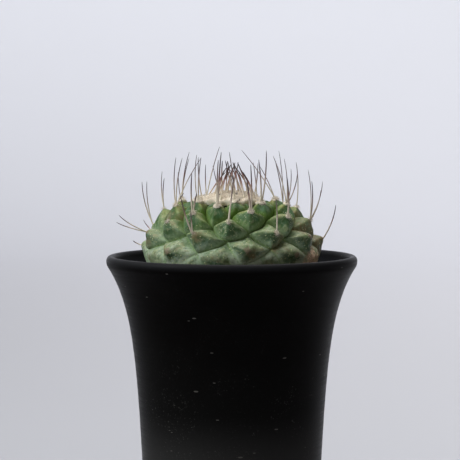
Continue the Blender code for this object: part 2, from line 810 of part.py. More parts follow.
def make_pebble(number, draw):
    """A rough grain, half sunk in the surface between the plant and the pot."""
    radius = draw.uniform(*PEBBLE_RADII)
    inner = on_meridian(arc_of(LAST_TUBERCLE))[0].x + ROOT_GAP + radius + GAP
    outer = inner_radius(SOIL_TOP) - 2 * GAP - radius
    out = math.sqrt(draw.uniform(inner**2, outer**2))
    angle = number * GOLDEN_ANGLE
    bm = bmesh.new()
    bmesh.ops.create_icosphere(bm, subdivisions=1, radius=radius)
    for vert in bm.verts:
        vert.co *= draw.uniform(1 - PEBBLE_ROUGHNESS, 1)
    bmesh.ops.scale(bm, verts=bm.verts, vec=(1, 1, PEBBLE_FLATNESS))
    tilt = Vector((draw.random(), draw.random(), 1)).to_track_quat("Z", "Y")
    bmesh.ops.rotate(bm, verts=bm.verts, matrix=tilt.to_matrix())
    bmesh.ops.translate(bm, verts=bm.verts, vec=(out * math.cos(angle), out * math.sin(angle), SOIL_TOP))
    return add_object(f"pebble_{number}", bm)


def make_soil():
    grit = material("grit_soil", (0.22, 0.19, 0.16), 0.95)
    soil = add_object("soil", turned(soil_outline(), SOIL_SEGMENTS, False), grit)
    draw = random.Random(PEBBLE_SEED)
    fuse(soil, [make_pebble(number, draw) for number in range(PEBBLES)])


def main():
    for old in list(bpy.data.objects):
        bpy.data.objects.remove(old)
    make_pot()
    make_drain_net()
    make_soil()
    make_cactus_and_crown()


main()
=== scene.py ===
"""The looks of a strombocactus in a flared matt black pot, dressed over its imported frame.

Metres, +Z up, the origin under the middle of the pot's foot. The photographed side faces -Y.
"""

import math
import random

import bmesh
import bpy
import numpy as np
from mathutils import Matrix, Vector, noise


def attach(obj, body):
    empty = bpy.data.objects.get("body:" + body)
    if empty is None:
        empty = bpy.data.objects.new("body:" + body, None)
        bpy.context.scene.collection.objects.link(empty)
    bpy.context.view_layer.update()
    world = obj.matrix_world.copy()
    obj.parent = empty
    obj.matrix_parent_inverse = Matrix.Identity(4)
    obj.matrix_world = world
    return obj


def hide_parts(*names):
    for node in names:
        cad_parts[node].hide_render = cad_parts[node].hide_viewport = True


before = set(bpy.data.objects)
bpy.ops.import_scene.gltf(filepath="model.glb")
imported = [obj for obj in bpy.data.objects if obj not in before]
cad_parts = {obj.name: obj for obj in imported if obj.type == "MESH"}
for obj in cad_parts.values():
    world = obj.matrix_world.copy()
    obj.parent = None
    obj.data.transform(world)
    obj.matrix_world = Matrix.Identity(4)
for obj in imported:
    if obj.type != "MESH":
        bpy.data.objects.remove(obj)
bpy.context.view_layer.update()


# Studio. A sheet of pale paper runs from under the pot up behind it in one wide curve. A large
# soft light stands at the left, above the plant, and the camera looks slightly down on the rim.
MM = 0.001
SWEEP_WIDTH = 6.0
SWEEP_FRONT = -2.5
SWEEP_BACK = 1.3
SWEEP_CURVE = 1.1
SWEEP_STEPS = 24
SWEEP_HEIGHT = 3.2
# Painted light on the paper: its colour is painted lighter from left to right and towards the back,
# between these places
PAINTED_LIGHT_ACROSS = (-0.45, 0.5)
PAINTED_LIGHT_AWAY = (0.3, 2.1)
PAINTED_LIGHT_FALL = 1.8
# The paper's colour with its painted light, at the left and at the right, near the pot and far behind it:
# painted darkest at the near left
PAPER_LIT_NEAR = ((0.318, 0.318, 0.353), (0.605, 0.605, 0.665))
PAPER_LIT_FAR = ((0.785, 0.795, 0.867), (0.79, 0.80, 0.867))
AIR_COLOUR = (1.0, 0.96, 0.89)
AIR_STRENGTH = 0.13
CAMERA_DISTANCE = 0.8
CAMERA_ELEVATION = math.radians(4.4)
CAMERA_LENS = 174.5
CAMERA_SENSOR = 36
PLANT_MIDDLE = Vector((0, 0, 93.5 * MM))
CAMERA_AIM = Vector((-0.65 * MM, 0, 105.1 * MM))
# Each light's place, where it shines, its width and height, its power in watts and its colour
LIGHTS = {
    "soft_light_left": ((-1.17, -0.42, 1.05), PLANT_MIDDLE, (1.0, 1.0), 19.5, (0.93, 1.0, 1.0)),
    "soft_light_top": ((-0.1, 0.35, 1.7), PLANT_MIDDLE, (1.2, 1.0), 20, (1.0, 0.98, 0.92)),
    "wall_light": ((0.2, 1.35, 2.0), (0.2, 2.4, 0.5), (3.0, 0.6), 25, (0.98, 0.985, 1.0)),
}


def object_of(mesh):
    """A new smooth-shaded object of a mesh, with the mesh's name."""
    mesh.shade_smooth()
    made = bpy.data.objects.new(mesh.name, mesh)
    bpy.context.collection.objects.link(made)
    return made


def mesh_object(name, points, faces):
    """A new object of these points and faces."""
    mesh = bpy.data.meshes.new(name)
    mesh.from_pydata(np.asarray(points).tolist(), [], [tuple(face) for face in faces])
    mesh.update()
    return object_of(mesh)


def feed(node, inputs):
    """Sets each of these inputs of a node to a value, or links it to another node's output."""
    for name, value in dict(inputs).items():
        socket = node.inputs[name]
        if isinstance(value, bpy.types.NodeSocket):
            node.id_data.links.new(value, socket)
        else:
            socket.default_value = (*value, 1) if socket.type == "RGBA" else value


def place(tree, kind, inputs=(), **settings):
    """Adds a shader node with these inputs and settings."""
    node = tree.nodes.new("ShaderNode" + kind)
    for name, value in settings.items():
        setattr(node, name, value)
    feed(node, inputs)
    return node


def finish_named(name):
    """A new material, with its node tree, its shader and the place on the object."""
    made = bpy.data.materials.new(name)
    made.use_nodes = True
    tree = made.node_tree
    return made, tree, tree.nodes["Principled BSDF"], place(tree, "TexCoord").outputs["Object"]


def mixed(mask, under, over):
    """The colour under, covered by the colour over where the mask is 1."""
    return place(mask.id_data, "Mix", {0: mask, 6: under, 7: over}, data_type="RGBA").outputs[2]


def spread(value, low, high, to_low=0.0, to_high=1.0):
    """A value eased from to_low to to_high as it goes from low to high."""
    inputs = {0: value, "From Min": low, "From Max": high, "To Min": to_low, "To Max": to_high}
    return place(value.id_data, "MapRange", inputs, interpolation_type="SMOOTHSTEP").outputs[0]


def reckoned(operation, first, second):
    """What a Math node makes of two values."""
    return place(first.id_data, "Math", {0: first, 1: second}, operation=operation).outputs[0]


def make_sweep():
    path = [(SWEEP_FRONT, 0.0)]
    for step in range(SWEEP_STEPS + 1):
        angle = math.pi / 2 * step / SWEEP_STEPS
        y = SWEEP_BACK + SWEEP_CURVE * math.sin(angle)
        path.append((y, SWEEP_CURVE * (1 - math.cos(angle))))
    path.append((SWEEP_BACK + SWEEP_CURVE, SWEEP_HEIGHT))
    half = SWEEP_WIDTH / 2
    points = [(x, y, z) for y, z in path for x in (-half, half)]
    faces = [(2 * k, 2 * k + 1, 2 * k + 3, 2 * k + 2) for k in range(len(path) - 1)]
    sweep = mesh_object("paper_sweep", points, faces)
    paper, tree, shader, where = finish_named("pale_paper")
    # Painted light: the paper is painted darker at the near left and lighter to the right and far behind,
    # for the falloff of the light
    along = place(tree, "SeparateXYZ", {0: where})
    across = spread(along.outputs["X"], *PAINTED_LIGHT_ACROSS)
    start, end = PAINTED_LIGHT_AWAY
    away = {0: along.outputs["Y"], "From Min": start, "From Max": end}
    away = reckoned("POWER", place(tree, "MapRange", away).outputs[0], PAINTED_LIGHT_FALL)
    near, far = mixed(across, *PAPER_LIT_NEAR), mixed(across, *PAPER_LIT_FAR)
    feed(shader, {"Base Color": mixed(away, near, far), "Roughness": 0.9, "Specular IOR Level": 0.1})
    sweep.data.materials.append(paper)


def add_light(name, place_at, aim_at, size, power, colour):
    lamp = bpy.data.lights.new(name, "AREA")
    lamp.shape = "RECTANGLE"
    lamp.size, lamp.size_y = size
    lamp.energy = power
    lamp.color = colour
    holder = bpy.data.objects.new(name, lamp)
    holder.location = place_at
    aim = Vector(aim_at) - holder.location
    holder.rotation_euler = aim.to_track_quat("-Z", "Y").to_euler()
    bpy.context.collection.objects.link(holder)


def set_up_studio():
    scene = bpy.context.scene
    scene.view_settings.view_transform = "Standard"
    make_sweep()
    world = bpy.data.worlds.new("studio")
    scene.world = world
    world.use_nodes = True
    feed(world.node_tree.nodes["Background"], {"Color": AIR_COLOUR, "Strength": AIR_STRENGTH})
    for name, light in LIGHTS.items():
        add_light(name, *light)
    lens = bpy.data.cameras.new("camera")
    lens.lens = CAMERA_LENS
    lens.sensor_width = CAMERA_SENSOR
    camera = bpy.data.objects.new("camera", lens)
    back = Vector((0, -math.cos(CAMERA_ELEVATION), math.sin(CAMERA_ELEVATION)))
    camera.location = PLANT_MIDDLE + back * CAMERA_DISTANCE
    aim = CAMERA_AIM - camera.location
    camera.rotation_euler = aim.to_track_quat("-Z", "Y").to_euler()
    bpy.context.collection.objects.link(camera)
    scene.camera = camera


set_up_studio()


# Pot. It is thrown on a wheel in dark clay and left without a glaze: matt, with fine rings from
# the throwing, a rounded lip, a turned foot with three notches, and a few pale scuffs.
TURN = 2 * math.pi
POT_HEIGHT = 96 * MM
RIM_RADIUS = 45 * MM
LIP_RISE = 1.9 * MM
LIP_MIDDLE = 43.45 * MM
WALL = 3 * MM
BODY_RADIUS = 35.14 * MM
BODY_TAPER = 0.0462
FLARE = 10.2 * MM
FLARE_REACH = 15.6 * MM
FOOT_EDGE = 1.2 * MM
FOOT_CORNER = (0.45, 0.25)
FOOT_BREAK = 0.3 * MM
FOOT_RING = 4.5 * MM
FOOT_RECESS = 1.8 * MM
FLOOR_TOP = 6 * MM
FLOOR_ROUND = 2 * MM
FLOOR_CORNER = 0.3
DRAIN_RADIUS = 6 * MM
EDGE_BREAK = 0.5 * MM
NOTCHES = 3
NOTCH_WIDTH = 7 * MM
NOTCH_HEIGHT = 1.2 * MM
THROWING_DEPTH = 0.035 * MM
THROWING_RINGS = (2.6 * MM, 0.9 * MM)
THROWING_INSIDE = 0.7
WALL_FULLNESS = 0.4 * MM
LIP_FULLNESS = 0.2 * MM
LIP_FULLNESS_REACH = 4 * MM
# The lip's lower corner is rounded like a parabola: it falls back by this times the depth squared
LIP_ROUNDING = 0.089 / MM
LIP_ROUNDED = 4 * MM
LIP_BLEND = 0.1 * MM
# Below the lip, where the rings of the outside and of the inside end
OUTSIDE_END = 0.4 * MM
INSIDE_END = 1.2 * MM
OUTSIDE_RINGS = 90
INSIDE_RINGS = 40
CROWDING = 1.4
POT_SEGMENTS = 168
POT_SHARP = math.radians(50)
SPECK_RAGGEDNESS = 0.25
SOIL_TOP = POT_HEIGHT - 7.2 * MM
# Painted light on the clay, by the heights between which each part comes in: a lighter lip as if lit from
# above, lighter lower walls as if lit from the floor, and a lighter inside
LIT_LIP_ZONE = (POT_HEIGHT - 3.2 * MM, POT_HEIGHT - 0.3 * MM)
FLOOR_BOUNCE_ZONE = (80 * MM, 30 * MM)
LOW_BOUNCE_ZONE = (44 * MM, 20 * MM)
LIT_INSIDE_ZONE = (85 * MM, 87 * MM)
# The middle of the wall, as two heights and the radii there, which parts the inside from the outside
MID_WALL = (84 * MM, 94 * MM, 38.5 * MM, 43.7 * MM)


def outer_radius(height):
    depth = POT_HEIGHT - LIP_RISE - height
    return BODY_RADIUS - BODY_TAPER * depth + FLARE * math.exp(-depth / FLARE_REACH)


def thrown(height):
    """How far a throwing ring stands out at this height."""
    wide, narrow = THROWING_RINGS
    slow = noise.noise(Vector((0.3, 0.7, height / wide)))
    fast = noise.noise(Vector((4.1, 2.2, height / narrow)))
    return THROWING_DEPTH * (slow + 0.5 * fast)


def outer_wall(height):
    """The outside as it came off the wheel: a touch fuller, and rounded below the lip."""
    depth = POT_HEIGHT - LIP_RISE - height
    fuller = WALL_FULLNESS + LIP_FULLNESS * math.exp(-depth / LIP_FULLNESS_REACH)
    wall = outer_radius(height) + fuller * min((height - FOOT_EDGE) / FLARE_REACH, 1)
    if depth > LIP_ROUNDED:
        return wall
    lip = RIM_RADIUS - LIP_ROUNDING * depth**2
    nearer = min(wall, lip)
    return nearer - LIP_BLEND * math.log1p(math.exp(-abs(wall - lip) / LIP_BLEND))


def heights_between(low, high, count):
    """Heights from low to high, closer together towards the top."""
    return [high - (high - low) * (step / count) ** CROWDING for step in range(count, -1, -1)]


def pot_outline():
    lip_base = POT_HEIGHT - LIP_RISE
    foot = outer_radius(0)
    outside = [(foot - FOOT_EDGE, 0), (foot - FOOT_CORNER[0] * FOOT_EDGE, FOOT_CORNER[1] * FOOT_EDGE)]
    for height in heights_between(FOOT_EDGE, lip_base - OUTSIDE_END, OUTSIDE_RINGS):
        outside.append((outer_wall(height) + thrown(height) - THROWING_DEPTH, height))
    lip = []
    half = RIM_RADIUS - LIP_MIDDLE
    for degrees in range(0, 181, 10):
        angle = math.radians(degrees)
        lip.append((LIP_MIDDLE + half * math.cos(angle), lip_base + LIP_RISE * math.sin(angle)))
    inside = []
    for height in reversed(heights_between(FLOOR_TOP + FLOOR_ROUND, lip_base - INSIDE_END, INSIDE_RINGS)):
        inside.append((outer_radius(height) - WALL + thrown(height + 1) * THROWING_INSIDE, height))
    inside.append((inside[-1][0] - FLOOR_CORNER * FLOOR_ROUND, FLOOR_TOP + FLOOR_CORNER * FLOOR_ROUND))
    inside.append((inside[-1][0] - (1 - FLOOR_CORNER) * FLOOR_ROUND, FLOOR_TOP))
    underside = [
        (DRAIN_RADIUS + EDGE_BREAK, FLOOR_TOP),
        (DRAIN_RADIUS, FLOOR_TOP - EDGE_BREAK),
        (DRAIN_RADIUS, FOOT_RECESS + EDGE_BREAK),
        (DRAIN_RADIUS + EDGE_BREAK, FOOT_RECESS),
        (foot - FOOT_RING - EDGE_BREAK, FOOT_RECESS),
        (foot - FOOT_RING, FOOT_BREAK),
        (foot - FOOT_RING + FOOT_BREAK, 0),
    ]
    return outside + lip + inside + underside


def round_axis(radius, angle, height):
    """Points at this radius and height, this way round from the front."""
    return np.stack([radius * np.sin(angle), -radius * np.cos(angle), height + 0 * angle], axis=-1)


def turned(name, outline, segments, closed):
    """An outline of (radius, height) points turned round the Z axis."""
    rings = len(outline)
    radius, height = np.array(outline).T
    points = round_axis(radius, np.arange(segments)[:, None] * TURN / segments, height)
    faces = []
    for around in range(segments):
        here, ahead = around * rings, (around + 1) % segments * rings
        for step in range(rings if closed else rings - 1):
            after = (step + 1) % rings
            faces.append((here + step, ahead + step, ahead + after, here + after))
    return mesh_object(name, points.reshape(-1, 3), faces)


def object_from(name, bm):
    """A new object of what a bmesh holds."""
    mesh = bpy.data.meshes.new(name)
    bm.to_mesh(mesh)
    bm.free()
    return object_of(mesh)


def cut_notches(pot):
    """Cuts the foot ring's notches, through which water runs off from under the pot."""
    bm = bmesh.new()
    reach = outer_radius(0) - FOOT_RING / 2
    for number in range(NOTCHES):
        angle = TURN * (number + 0.5) / NOTCHES
        made = bmesh.ops.create_cube(bm, size=1)["verts"]
        bmesh.ops.scale(bm, verts=made, vec=(3 * FOOT_RING, NOTCH_WIDTH, 2 * NOTCH_HEIGHT))
        bmesh.ops.translate(bm, verts=made, vec=(reach, 0, 0))
        turn = Vector((math.cos(angle), math.sin(angle), 0)).to_track_quat("X", "Z").to_matrix()
        bmesh.ops.rotate(bm, verts=made, matrix=turn)
    cutter = object_from("notch_cutters", bm)
    cut = pot.modifiers.new("notches", "BOOLEAN")
    cut.operation = "DIFFERENCE"
    cut.solver = "EXACT"
    cut.object = cutter
    graph = bpy.context.evaluated_depsgraph_get()
    pot.data = bpy.data.meshes.new_from_object(pot.evaluated_get(graph))
    pot.modifiers.clear()
    bpy.data.objects.remove(cutter)


def times(first, second):
    return reckoned("MULTIPLY", first, second)


def plus(first, second):
    return reckoned("ADD", first, second)


def less(first, second):
    """1 where the first is less than the second, and otherwise 0."""
    return reckoned("LESS_THAN", first, second)


def group_tree(name, inputs, outputs):
    """A new shader group, with its input and output nodes."""
    tree = bpy.data.node_groups.new(name, "ShaderNodeTree")
    for way, sockets in (("INPUT", inputs), ("OUTPUT", outputs)):
        for socket, kind in sockets.items():
            tree.interface.new_socket(name=socket, in_out=way, socket_type="NodeSocket" + kind)
    given = tree.nodes.new("NodeGroupInput")
    wanted = tree.nodes.new("NodeGroupOutput")
    return tree, given.outputs, wanted


def make_grain_group():
    """Fine grain: a height that roughens a surface, and soft patches of light and dark."""
    tree, given, wanted = group_tree(
        "fine_grain",
        {"Place": "Vector", "Grains per metre": "Float", "Patches per metre": "Float"},
        {"Height": "Float", "Patches": "Float"},
    )
    where, grains, patches = list(given)[:3]
    fine = place(tree, "TexNoise", {"Vector": where, "Scale": grains, "Detail": 4, "Roughness": 0.65})
    broad = place(tree, "TexNoise", {"Vector": where, "Scale": patches, "Detail": 5, "Roughness": 0.6})
    feed(wanted, {"Height": fine.outputs["Fac"], "Patches": spread(broad.outputs["Fac"], 0.35, 0.68)})
    return tree


def make_speck_group():
    """Specks: small round dots, scattered unevenly, as a mask."""
    tree, given, wanted = group_tree(
        "specks",
        {"Place": "Vector", "Specks per metre": "Float", "Size": "Float", "Share": "Float"},
        {"Mask": "Float"},
    )
    where, specks, size, share = list(given)[:4]
    dots = place(tree, "TexVoronoi", {"Vector": where, "Scale": specks})
    ragged = place(tree, "TexNoise", {"Vector": where, "Scale": specks, "Detail": 2})
    reach = plus(dots.outputs["Distance"], times(ragged.outputs["Fac"], SPECK_RAGGEDNESS))
    pick = place(tree, "SeparateColor", {0: dots.outputs["Color"]}).outputs[0]
    within = less(reach, plus(size, SPECK_RAGGEDNESS / 2))
    feed(wanted, {"Mask": times(within, less(pick, share))})
    return tree


FINE_GRAIN = make_grain_group()
SPECKS = make_speck_group()


def grained(where, grains, patches):
    """The height and the patches of fine grain, with so many grains and patches a metre."""
    inputs = {"Place": where, "Grains per metre": grains, "Patches per metre": patches}
    return place(where.id_data, "Group", inputs, node_tree=FINE_GRAIN).outputs


def specked(where, specks, size, share):
    """The mask of specks: so many places for one a metre, their size, and the share that has one."""
    inputs = {"Place": where, "Specks per metre": specks, "Size": size, "Share": share}
    return place(where.id_data, "Group", inputs, node_tree=SPECKS).outputs["Mask"]


def coated(colour, coats):
    """A colour under these coats, from the lowest up, each as (mask, colour)."""
    for mask, over in coats:
        colour = mixed(mask, colour, over)
    return colour


def bumped(shader, *layers):
    """Feeds heights through Bump nodes, one on another, into a shader's normal. Each layer has its
    height, its depth in metres and its strength."""
    under = {}
    for height, depth, strength in layers:
        inputs = {"Height": height, "Distance": depth, "Strength": strength, **under}
        under = {"Normal": place(shader.id_data, "Bump", inputs).outputs[0]}
    feed(shader, under)


def make_black_clay():
    clay, tree, shader, where = finish_named("black_pot_clay")
    grain = grained(where, 1500, 60)
    stretched = place(tree, "Mapping", {"Vector": where, "Scale": (60, 60, 1500)}).outputs[0]
    rings = place(tree, "TexNoise", {"Vector": stretched, "Scale": 1, "Detail": 3}).outputs["Fac"]
    flat = place(tree, "Mapping", {"Vector": where, "Scale": (0.5, 0.5, 1.6)}).outputs[0]
    scuffs = specked(flat, 260, 0.07, 0.4)
    height = place(tree, "SeparateXYZ", {0: where}).outputs["Z"]
    # Painted light: the lip is painted lighter as if lit from above, the lower walls lighter towards the
    # foot in two steps as if lit by light bounced from the floor, and the inside lighter and bluer
    lip = spread(height, *LIT_LIP_ZONE)
    painted_floor_bounce = spread(height, *FLOOR_BOUNCE_ZONE, 0.05, 1.0)
    painted_low_bounce = spread(height, *LOW_BOUNCE_ZONE)
    around = place(tree, "VectorMath", {0: where, 1: (1, 1, 0)}, operation="MULTIPLY").outputs[0]
    reach = place(tree, "VectorMath", {0: around}, operation="LENGTH").outputs["Value"]
    inside = times(less(reach, spread(height, *MID_WALL)), spread(height, *LIT_INSIDE_ZONE))
    colour = mixed(grain["Patches"], (0.0017, 0.0014, 0.0012), (0.0026, 0.0022, 0.0020))
    flecks = times(spread(grain["Height"], 0.60, 0.68), spread(painted_floor_bounce, 0.0, 1.0, 0.1, 1.0))
    flecks = times(flecks, spread(grain["Patches"], 0.42, 0.58, 0.15, 0.8))
    # Coats over the clay: painted floor light on the lower walls in two steps, painted light inside,
    # flecks, painted light on the lip, and scuffs
    coats = [
        (painted_floor_bounce, (0.0050, 0.0049, 0.0047)),
        (painted_low_bounce, (0.027, 0.026, 0.0255)),
        (inside, (0.015, 0.0155, 0.019)),
        (flecks, (0.05, 0.048, 0.046)),
        (times(lip, 0.6), (0.030, 0.030, 0.033)),
        (scuffs, (0.07, 0.065, 0.06)),
    ]
    finish = {
        "Base Color": coated(colour, coats),
        "Roughness": spread(rings, 0.3, 0.7, 0.30, 0.38),
        "Specular IOR Level": 0.018,
        "Sheen Weight": 0.008,
        "Sheen Roughness": 0.3,
    }
    feed(shader, finish)
    bumped(shader, (rings, 0.03 * MM, 0.5), (grain["Height"], 0.05 * MM, 0.7))
    return clay


pot = turned("thrown_pot", pot_outline(), POT_SEGMENTS, True)
cut_notches(pot)
pot.data.shade_smooth()
pot.data.set_sharp_from_angle(angle=POT_SHARP)
pot.data.materials.append(make_black_clay())
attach(pot, "root")
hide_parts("pot")


# Drain net. A disc cut from green plastic netting lies over the drain hole and keeps the grit in.
# It is moulded, so its surface is smooth with a slight haze of lime from the water.
def make_green_plastic():
    plastic, _, shader, where = finish_named("green_plastic_net")
    grain = grained(where, 2600, 400)
    colour = mixed(grain["Patches"], (0.03, 0.10, 0.05), (0.07, 0.16, 0.09))
    haze = spread(grain["Height"], 0.56, 0.72, 0.0, 0.5)
    colour = mixed(haze, colour, (0.35, 0.38, 0.33))
    feed(shader, {"Base Color": colour, "Roughness": spread(grain["Patches"], 0.0, 1.0, 0.38, 0.6)})
    bumped(shader, (grain["Height"], 0.05 * MM, 0.5))
    return plastic


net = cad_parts["drain_net"]
net.data.materials.clear()
net.data.materials.append(make_green_plastic())


# Plant body. A flattened globe of tubercles that grew one after another, each 137.5 degrees round
# from the last, so that they stand in spirals of 8 and of 13. Tough waxy skin, keeled below each tip,
# with a taproot under the soil. The oldest tubercles, at the soil, have faded, flattened and corked.
GOLDEN_ANGLE = math.radians(137.508)
# Tubercle 41 stands 2.9 degrees to the left of the front, and the others are counted from it
FIRST_ANGLE = math.radians(-2.9) + 41 * GOLDEN_ANGLE
ROW_EIGHT = 8
ROW_THIRTEEN = 13
HALF_CELL = (ROW_EIGHT + ROW_THIRTEEN) / 2
PITCH = 0.68 * MM
PITCH_GROWTH = 0.0006 * MM
EVEN_FROM = 8.6
FIRST_TUBERCLE = 5
LAST_TUBERCLE = 85
AT_SOIL = 72
RELIEF = 6.0 * MM
CROWN_RELIEF = 2 * MM
TIP_LIFT = 0.12
# The body's outline, from the crown to the root's end, as (radius, height over the soil) in mm
MERIDIAN = [
    (0, 27.2), (10, 27.2), (18.2, 26.8), (23.6, 24.2), (27.4, 20.8), (30, 16.8), (31.9, 12.6),
    (32.1, 8.6), (30.4, 4.4), (29.4, 0), (28.4, -3.6), (24, -7.4), (15, -10), (9.5, -15),
    (6.5, -24), (3.6, -33), (0, -40),
]
MERIDIAN_FINENESS = 12
# Tips that lie off their spiral, by their place in it: degrees round and places along
DRIFT = {
    25: (-3, 1.2), 28: (0.5, 1.4), 33: (-1.4, 1.6), 36: (1.5, 0.4), 38: (-1.5, 1.2), 39: (-8, -3),
    41: (0, 1.0), 44: (1.5, -1.2), 46: (0.6, 2.4), 49: (-4, -0.6), 51: (-1, 0.4), 52: (0, -2.2),
    54: (-0.6, 3.0), 56: (-3, -2.0), 57: (-1, 1.0), 59: (1.8, 0.5), 60: (0, -3.0),
}
# Crossings of the creases that lie off their spiral, by their own place in it: degrees and places
BENT = {
    30.5: (-2, 0.9), 35.5: (0, -1.5), 38.5: (3.2, 1.0), 40.5: (-6.5, 0), 46.5: (1.2, -0.6),
    48.5: (-4.0, 0), 51.5: (3.0, -1.1), 54.5: (4.5, -3.0), 56.5: (2.3, 0), 59.5: (3.5, 0),
    62.5: (1.0, -3.0),
}
# Distances from the crown between which the creases deepen and fade, the tubercles begin to show,
# the valleys fill and the creases begin to wander
CREASES_DEEPEN = (8 * MM, 16 * MM)
CREASES_FADE = (36 * MM, 47 * MM)
TIPS_START = (9.3 * MM, 13 * MM)
VALLEYS_FILL = (20 * MM, 37 * MM)
WANDER_STARTS = (14 * MM, 20 * MM)
# Places in the spiral between which tubercles grow old, creases rise and noses end again
GROWN_OLD = (40, 56)
CREASES_RISE = (45, 53)
NOSES_END = (62, 58)
CREASE_RISE = 2.3
CREASE_BOW = 1.0 * MM
WANDER = 0.6 * MM
WANDER_SIZE = 0.42
WANDER_LENGTH = 20 * MM
SHAPE_WANDER = 0.26
SHAPE_WANDER_SIZE = 0.9
SHAPE_WANDER_STARTS = (0, 0.3)
# Steps through the noise from one tubercle to the next, so that no two are alike
SHAPE_APART = 1.7
STREAKS_APART = 3.1
STREAK_WIDTH = 0.22
STREAK_CORE = 0.6
BLUNT_TIP = 0.14
# A face's fall from the tip to the crease: the share that falls evenly, what age adds to that
# share, and the power by which the rest falls late
FACE_BELOW = (0.85, -0.1, 6)
FACE_BESIDE = (0.5, 0.3, 4)
FACE_KEEL = (0.5, 0, 6)
FACE_ABOVE = 1.05
FACE_ABOVE_OLD = 0.4
TURNS_BELOW = (-0.3, 0.2)
RIDGE_WIDTH = 0.25
RIDGE_WIDENS = 0.1
KEEL_WIDTH = 0.3
ROUNDING = 2.6
FULLNESS = 0.65
NOSE = 0.9 * MM
NOSE_REACH = 0.42
VALLEY = 0.2
CELL_STEPS = 28
# How much of the ridges' olive, partly their own colour and partly painted light, shows at the sides,
# above and on the keel, and how wide it is there
SIDE_LIT_OLIVE = 0.8
SIDE_LIT_OLIVE_WIDTH = 0.3
TOP_LIT_OLIVE = 0.7
TOP_LIT_OLIVE_STARTS = (-0.1, 0.4)
KEEL_LIT_OLIVE = 0.5
KEEL_LIT_OLIVE_WIDTH = 0.15
# The bay of painted shade starts below the tip, between these two ways round it
BAY_STARTS = (0.05, 0.4)
# From the tip (0) to the crease (1), where the streaks start, and where each mark ends
STREAKS_START = (0.1, 0.4)
STREAKS_END = (0.75, 1.0)
LIT_OLIVE_ENDS = (0.45, 1.0)
KEEL_LIT_OLIVE_ENDS = (0.3, 0.8)
BAY_ENDS = (0.5, 0.95)
# The scar at the tip, which is wider on old tubercles, and how ragged the streaks make both
SCAR_WIDTH = 0.12
SCAR_WIDENS = 0.06
BAY_RAGGED = 0.5
SCAR_RAGGED = 0.8
YOUNG_END = 10 * MM
AGE_SPAN = 36 * MM
# Corky scars on the oldest skin: the way round in degrees, the height over the soil and the reach
CORK = [(66, 3.4, 7.5), (118, 1.5, 5.0), (-148, 2.0, 6.0), (170, 1.0, 4.0), (-96, 0.8, 3.5)]
# Dry, brownish skin in the same measures: round the corky side, below some tips and on one shoulder
DRY = [
    (84, 9.0, 15.0), (66, 17.5, 5.5), (88, 22.0, 4.5), (36, 13.8, 3.4), (30, 11.6, 2.6),
    (12, 9.8, 3.0), (-56, 21.5, 2.4), (-68, 21.0, 3.6), (-74, 12.5, 3.0), (-24, 15.5, 2.4),
    (-48, 10.5, 2.6), (150, 8.0, 9.0), (-160, 14.0, 6.0),
]
CORK_SOFTNESS = 0.25
DRY_SOFTNESS = 0.7
# How ragged the patches' edges are: how much, the size of the rags, and a seed
RAGS = [(0.35, 1.6 * MM, 3), (0.25, 0.6 * MM, 4)]
SKIN_LUMPS = 0.34 * MM
LUMP_SIZE = 4.5 * MM
LUMPS_IN_CREASE = 0.4
SKIN_WRINKLES = 0.17 * MM
WRINKLE_SIZE = 1.1 * MM
STREAK_HEIGHT = 0.22 * MM
CORK_LIFT = 0.2 * MM
CORK_STRANDS = 0.7 * MM
STRAND_SIZE = 0.7 * MM
STRAND_STRETCH = 0.35
WELD = 0.004 * MM
TOP_EDGE = 10 * MM
ROOT_RINGS = 24
ROOT_SEGMENTS = 48
ROOT_INSET = 0.3 * MM


def smooth_meridian():
    """The outline as points on a smooth curve through its marks."""
    marks = [Vector((radius * MM, SOIL_TOP + height * MM)) for radius, height in MERIDIAN]
    padded = [Vector((-marks[1].x, marks[1].y)), *marks, 2 * marks[-1] - marks[-2]]
    points = []
    for a, b, c, d in zip(padded, padded[1:], padded[2:], padded[3:]):
        for step in range(MERIDIAN_FINENESS):
            t = step / MERIDIAN_FINENESS
            curve = 2 * b + (c - a) * t + (2 * a - 5 * b + 4 * c - d) * t**2
            points.append((curve + (3 * b - a - 3 * c + d) * t**3) / 2)
    points.append(marks[-1])
    return np.array([tuple(point) for point in points])


MERIDIAN_POINTS = smooth_meridian()
MERIDIAN_STEPS = np.linalg.norm(np.diff(MERIDIAN_POINTS, axis=0), axis=1)
MERIDIAN_LENGTHS = np.concatenate([[0], np.cumsum(MERIDIAN_STEPS)])
MERIDIAN_WAYS = np.gradient(MERIDIAN_POINTS, MERIDIAN_LENGTHS, axis=0)
STEP_EIGHT = (-ROW_EIGHT * GOLDEN_ANGLE + math.pi) % TURN - math.pi
STEP_THIRTEEN = (-ROW_THIRTEEN * GOLDEN_ANGLE + math.pi) % TURN - math.pi


def eased(value, low, high):
    share = np.clip((value - low) / (high - low), 0, 1)
    return share * share * (3 - 2 * share)


def on_plant(distance, angle, depth):
    """Points this far from the crown along the skin, sunk by depth, and the way out there."""
    radius, height, along, fall = (
        np.interp(distance, MERIDIAN_LENGTHS, column)
        for column in (*MERIDIAN_POINTS.T, *MERIDIAN_WAYS.T)
    )
    size = np.hypot(along, fall)
    out, up = -fall / size, along / size
    radius = np.maximum(radius - out * depth, 0)
    return round_axis(radius, angle, height - up * depth), round_axis(out, angle, up)


def arc_of(index):
    """Distance of a tubercle from the crown's middle."""
    even = PITCH * EVEN_FROM + PITCH_GROWTH * EVEN_FROM**2
    young = even * np.exp((np.minimum(index, EVEN_FROM) - EVEN_FROM) * PITCH / even)
    return np.where(index < EVEN_FROM, young, PITCH * index + PITCH_GROWTH * index**2)


def angle_of(index):
    return FIRST_ANGLE - index * GOLDEN_ANGLE


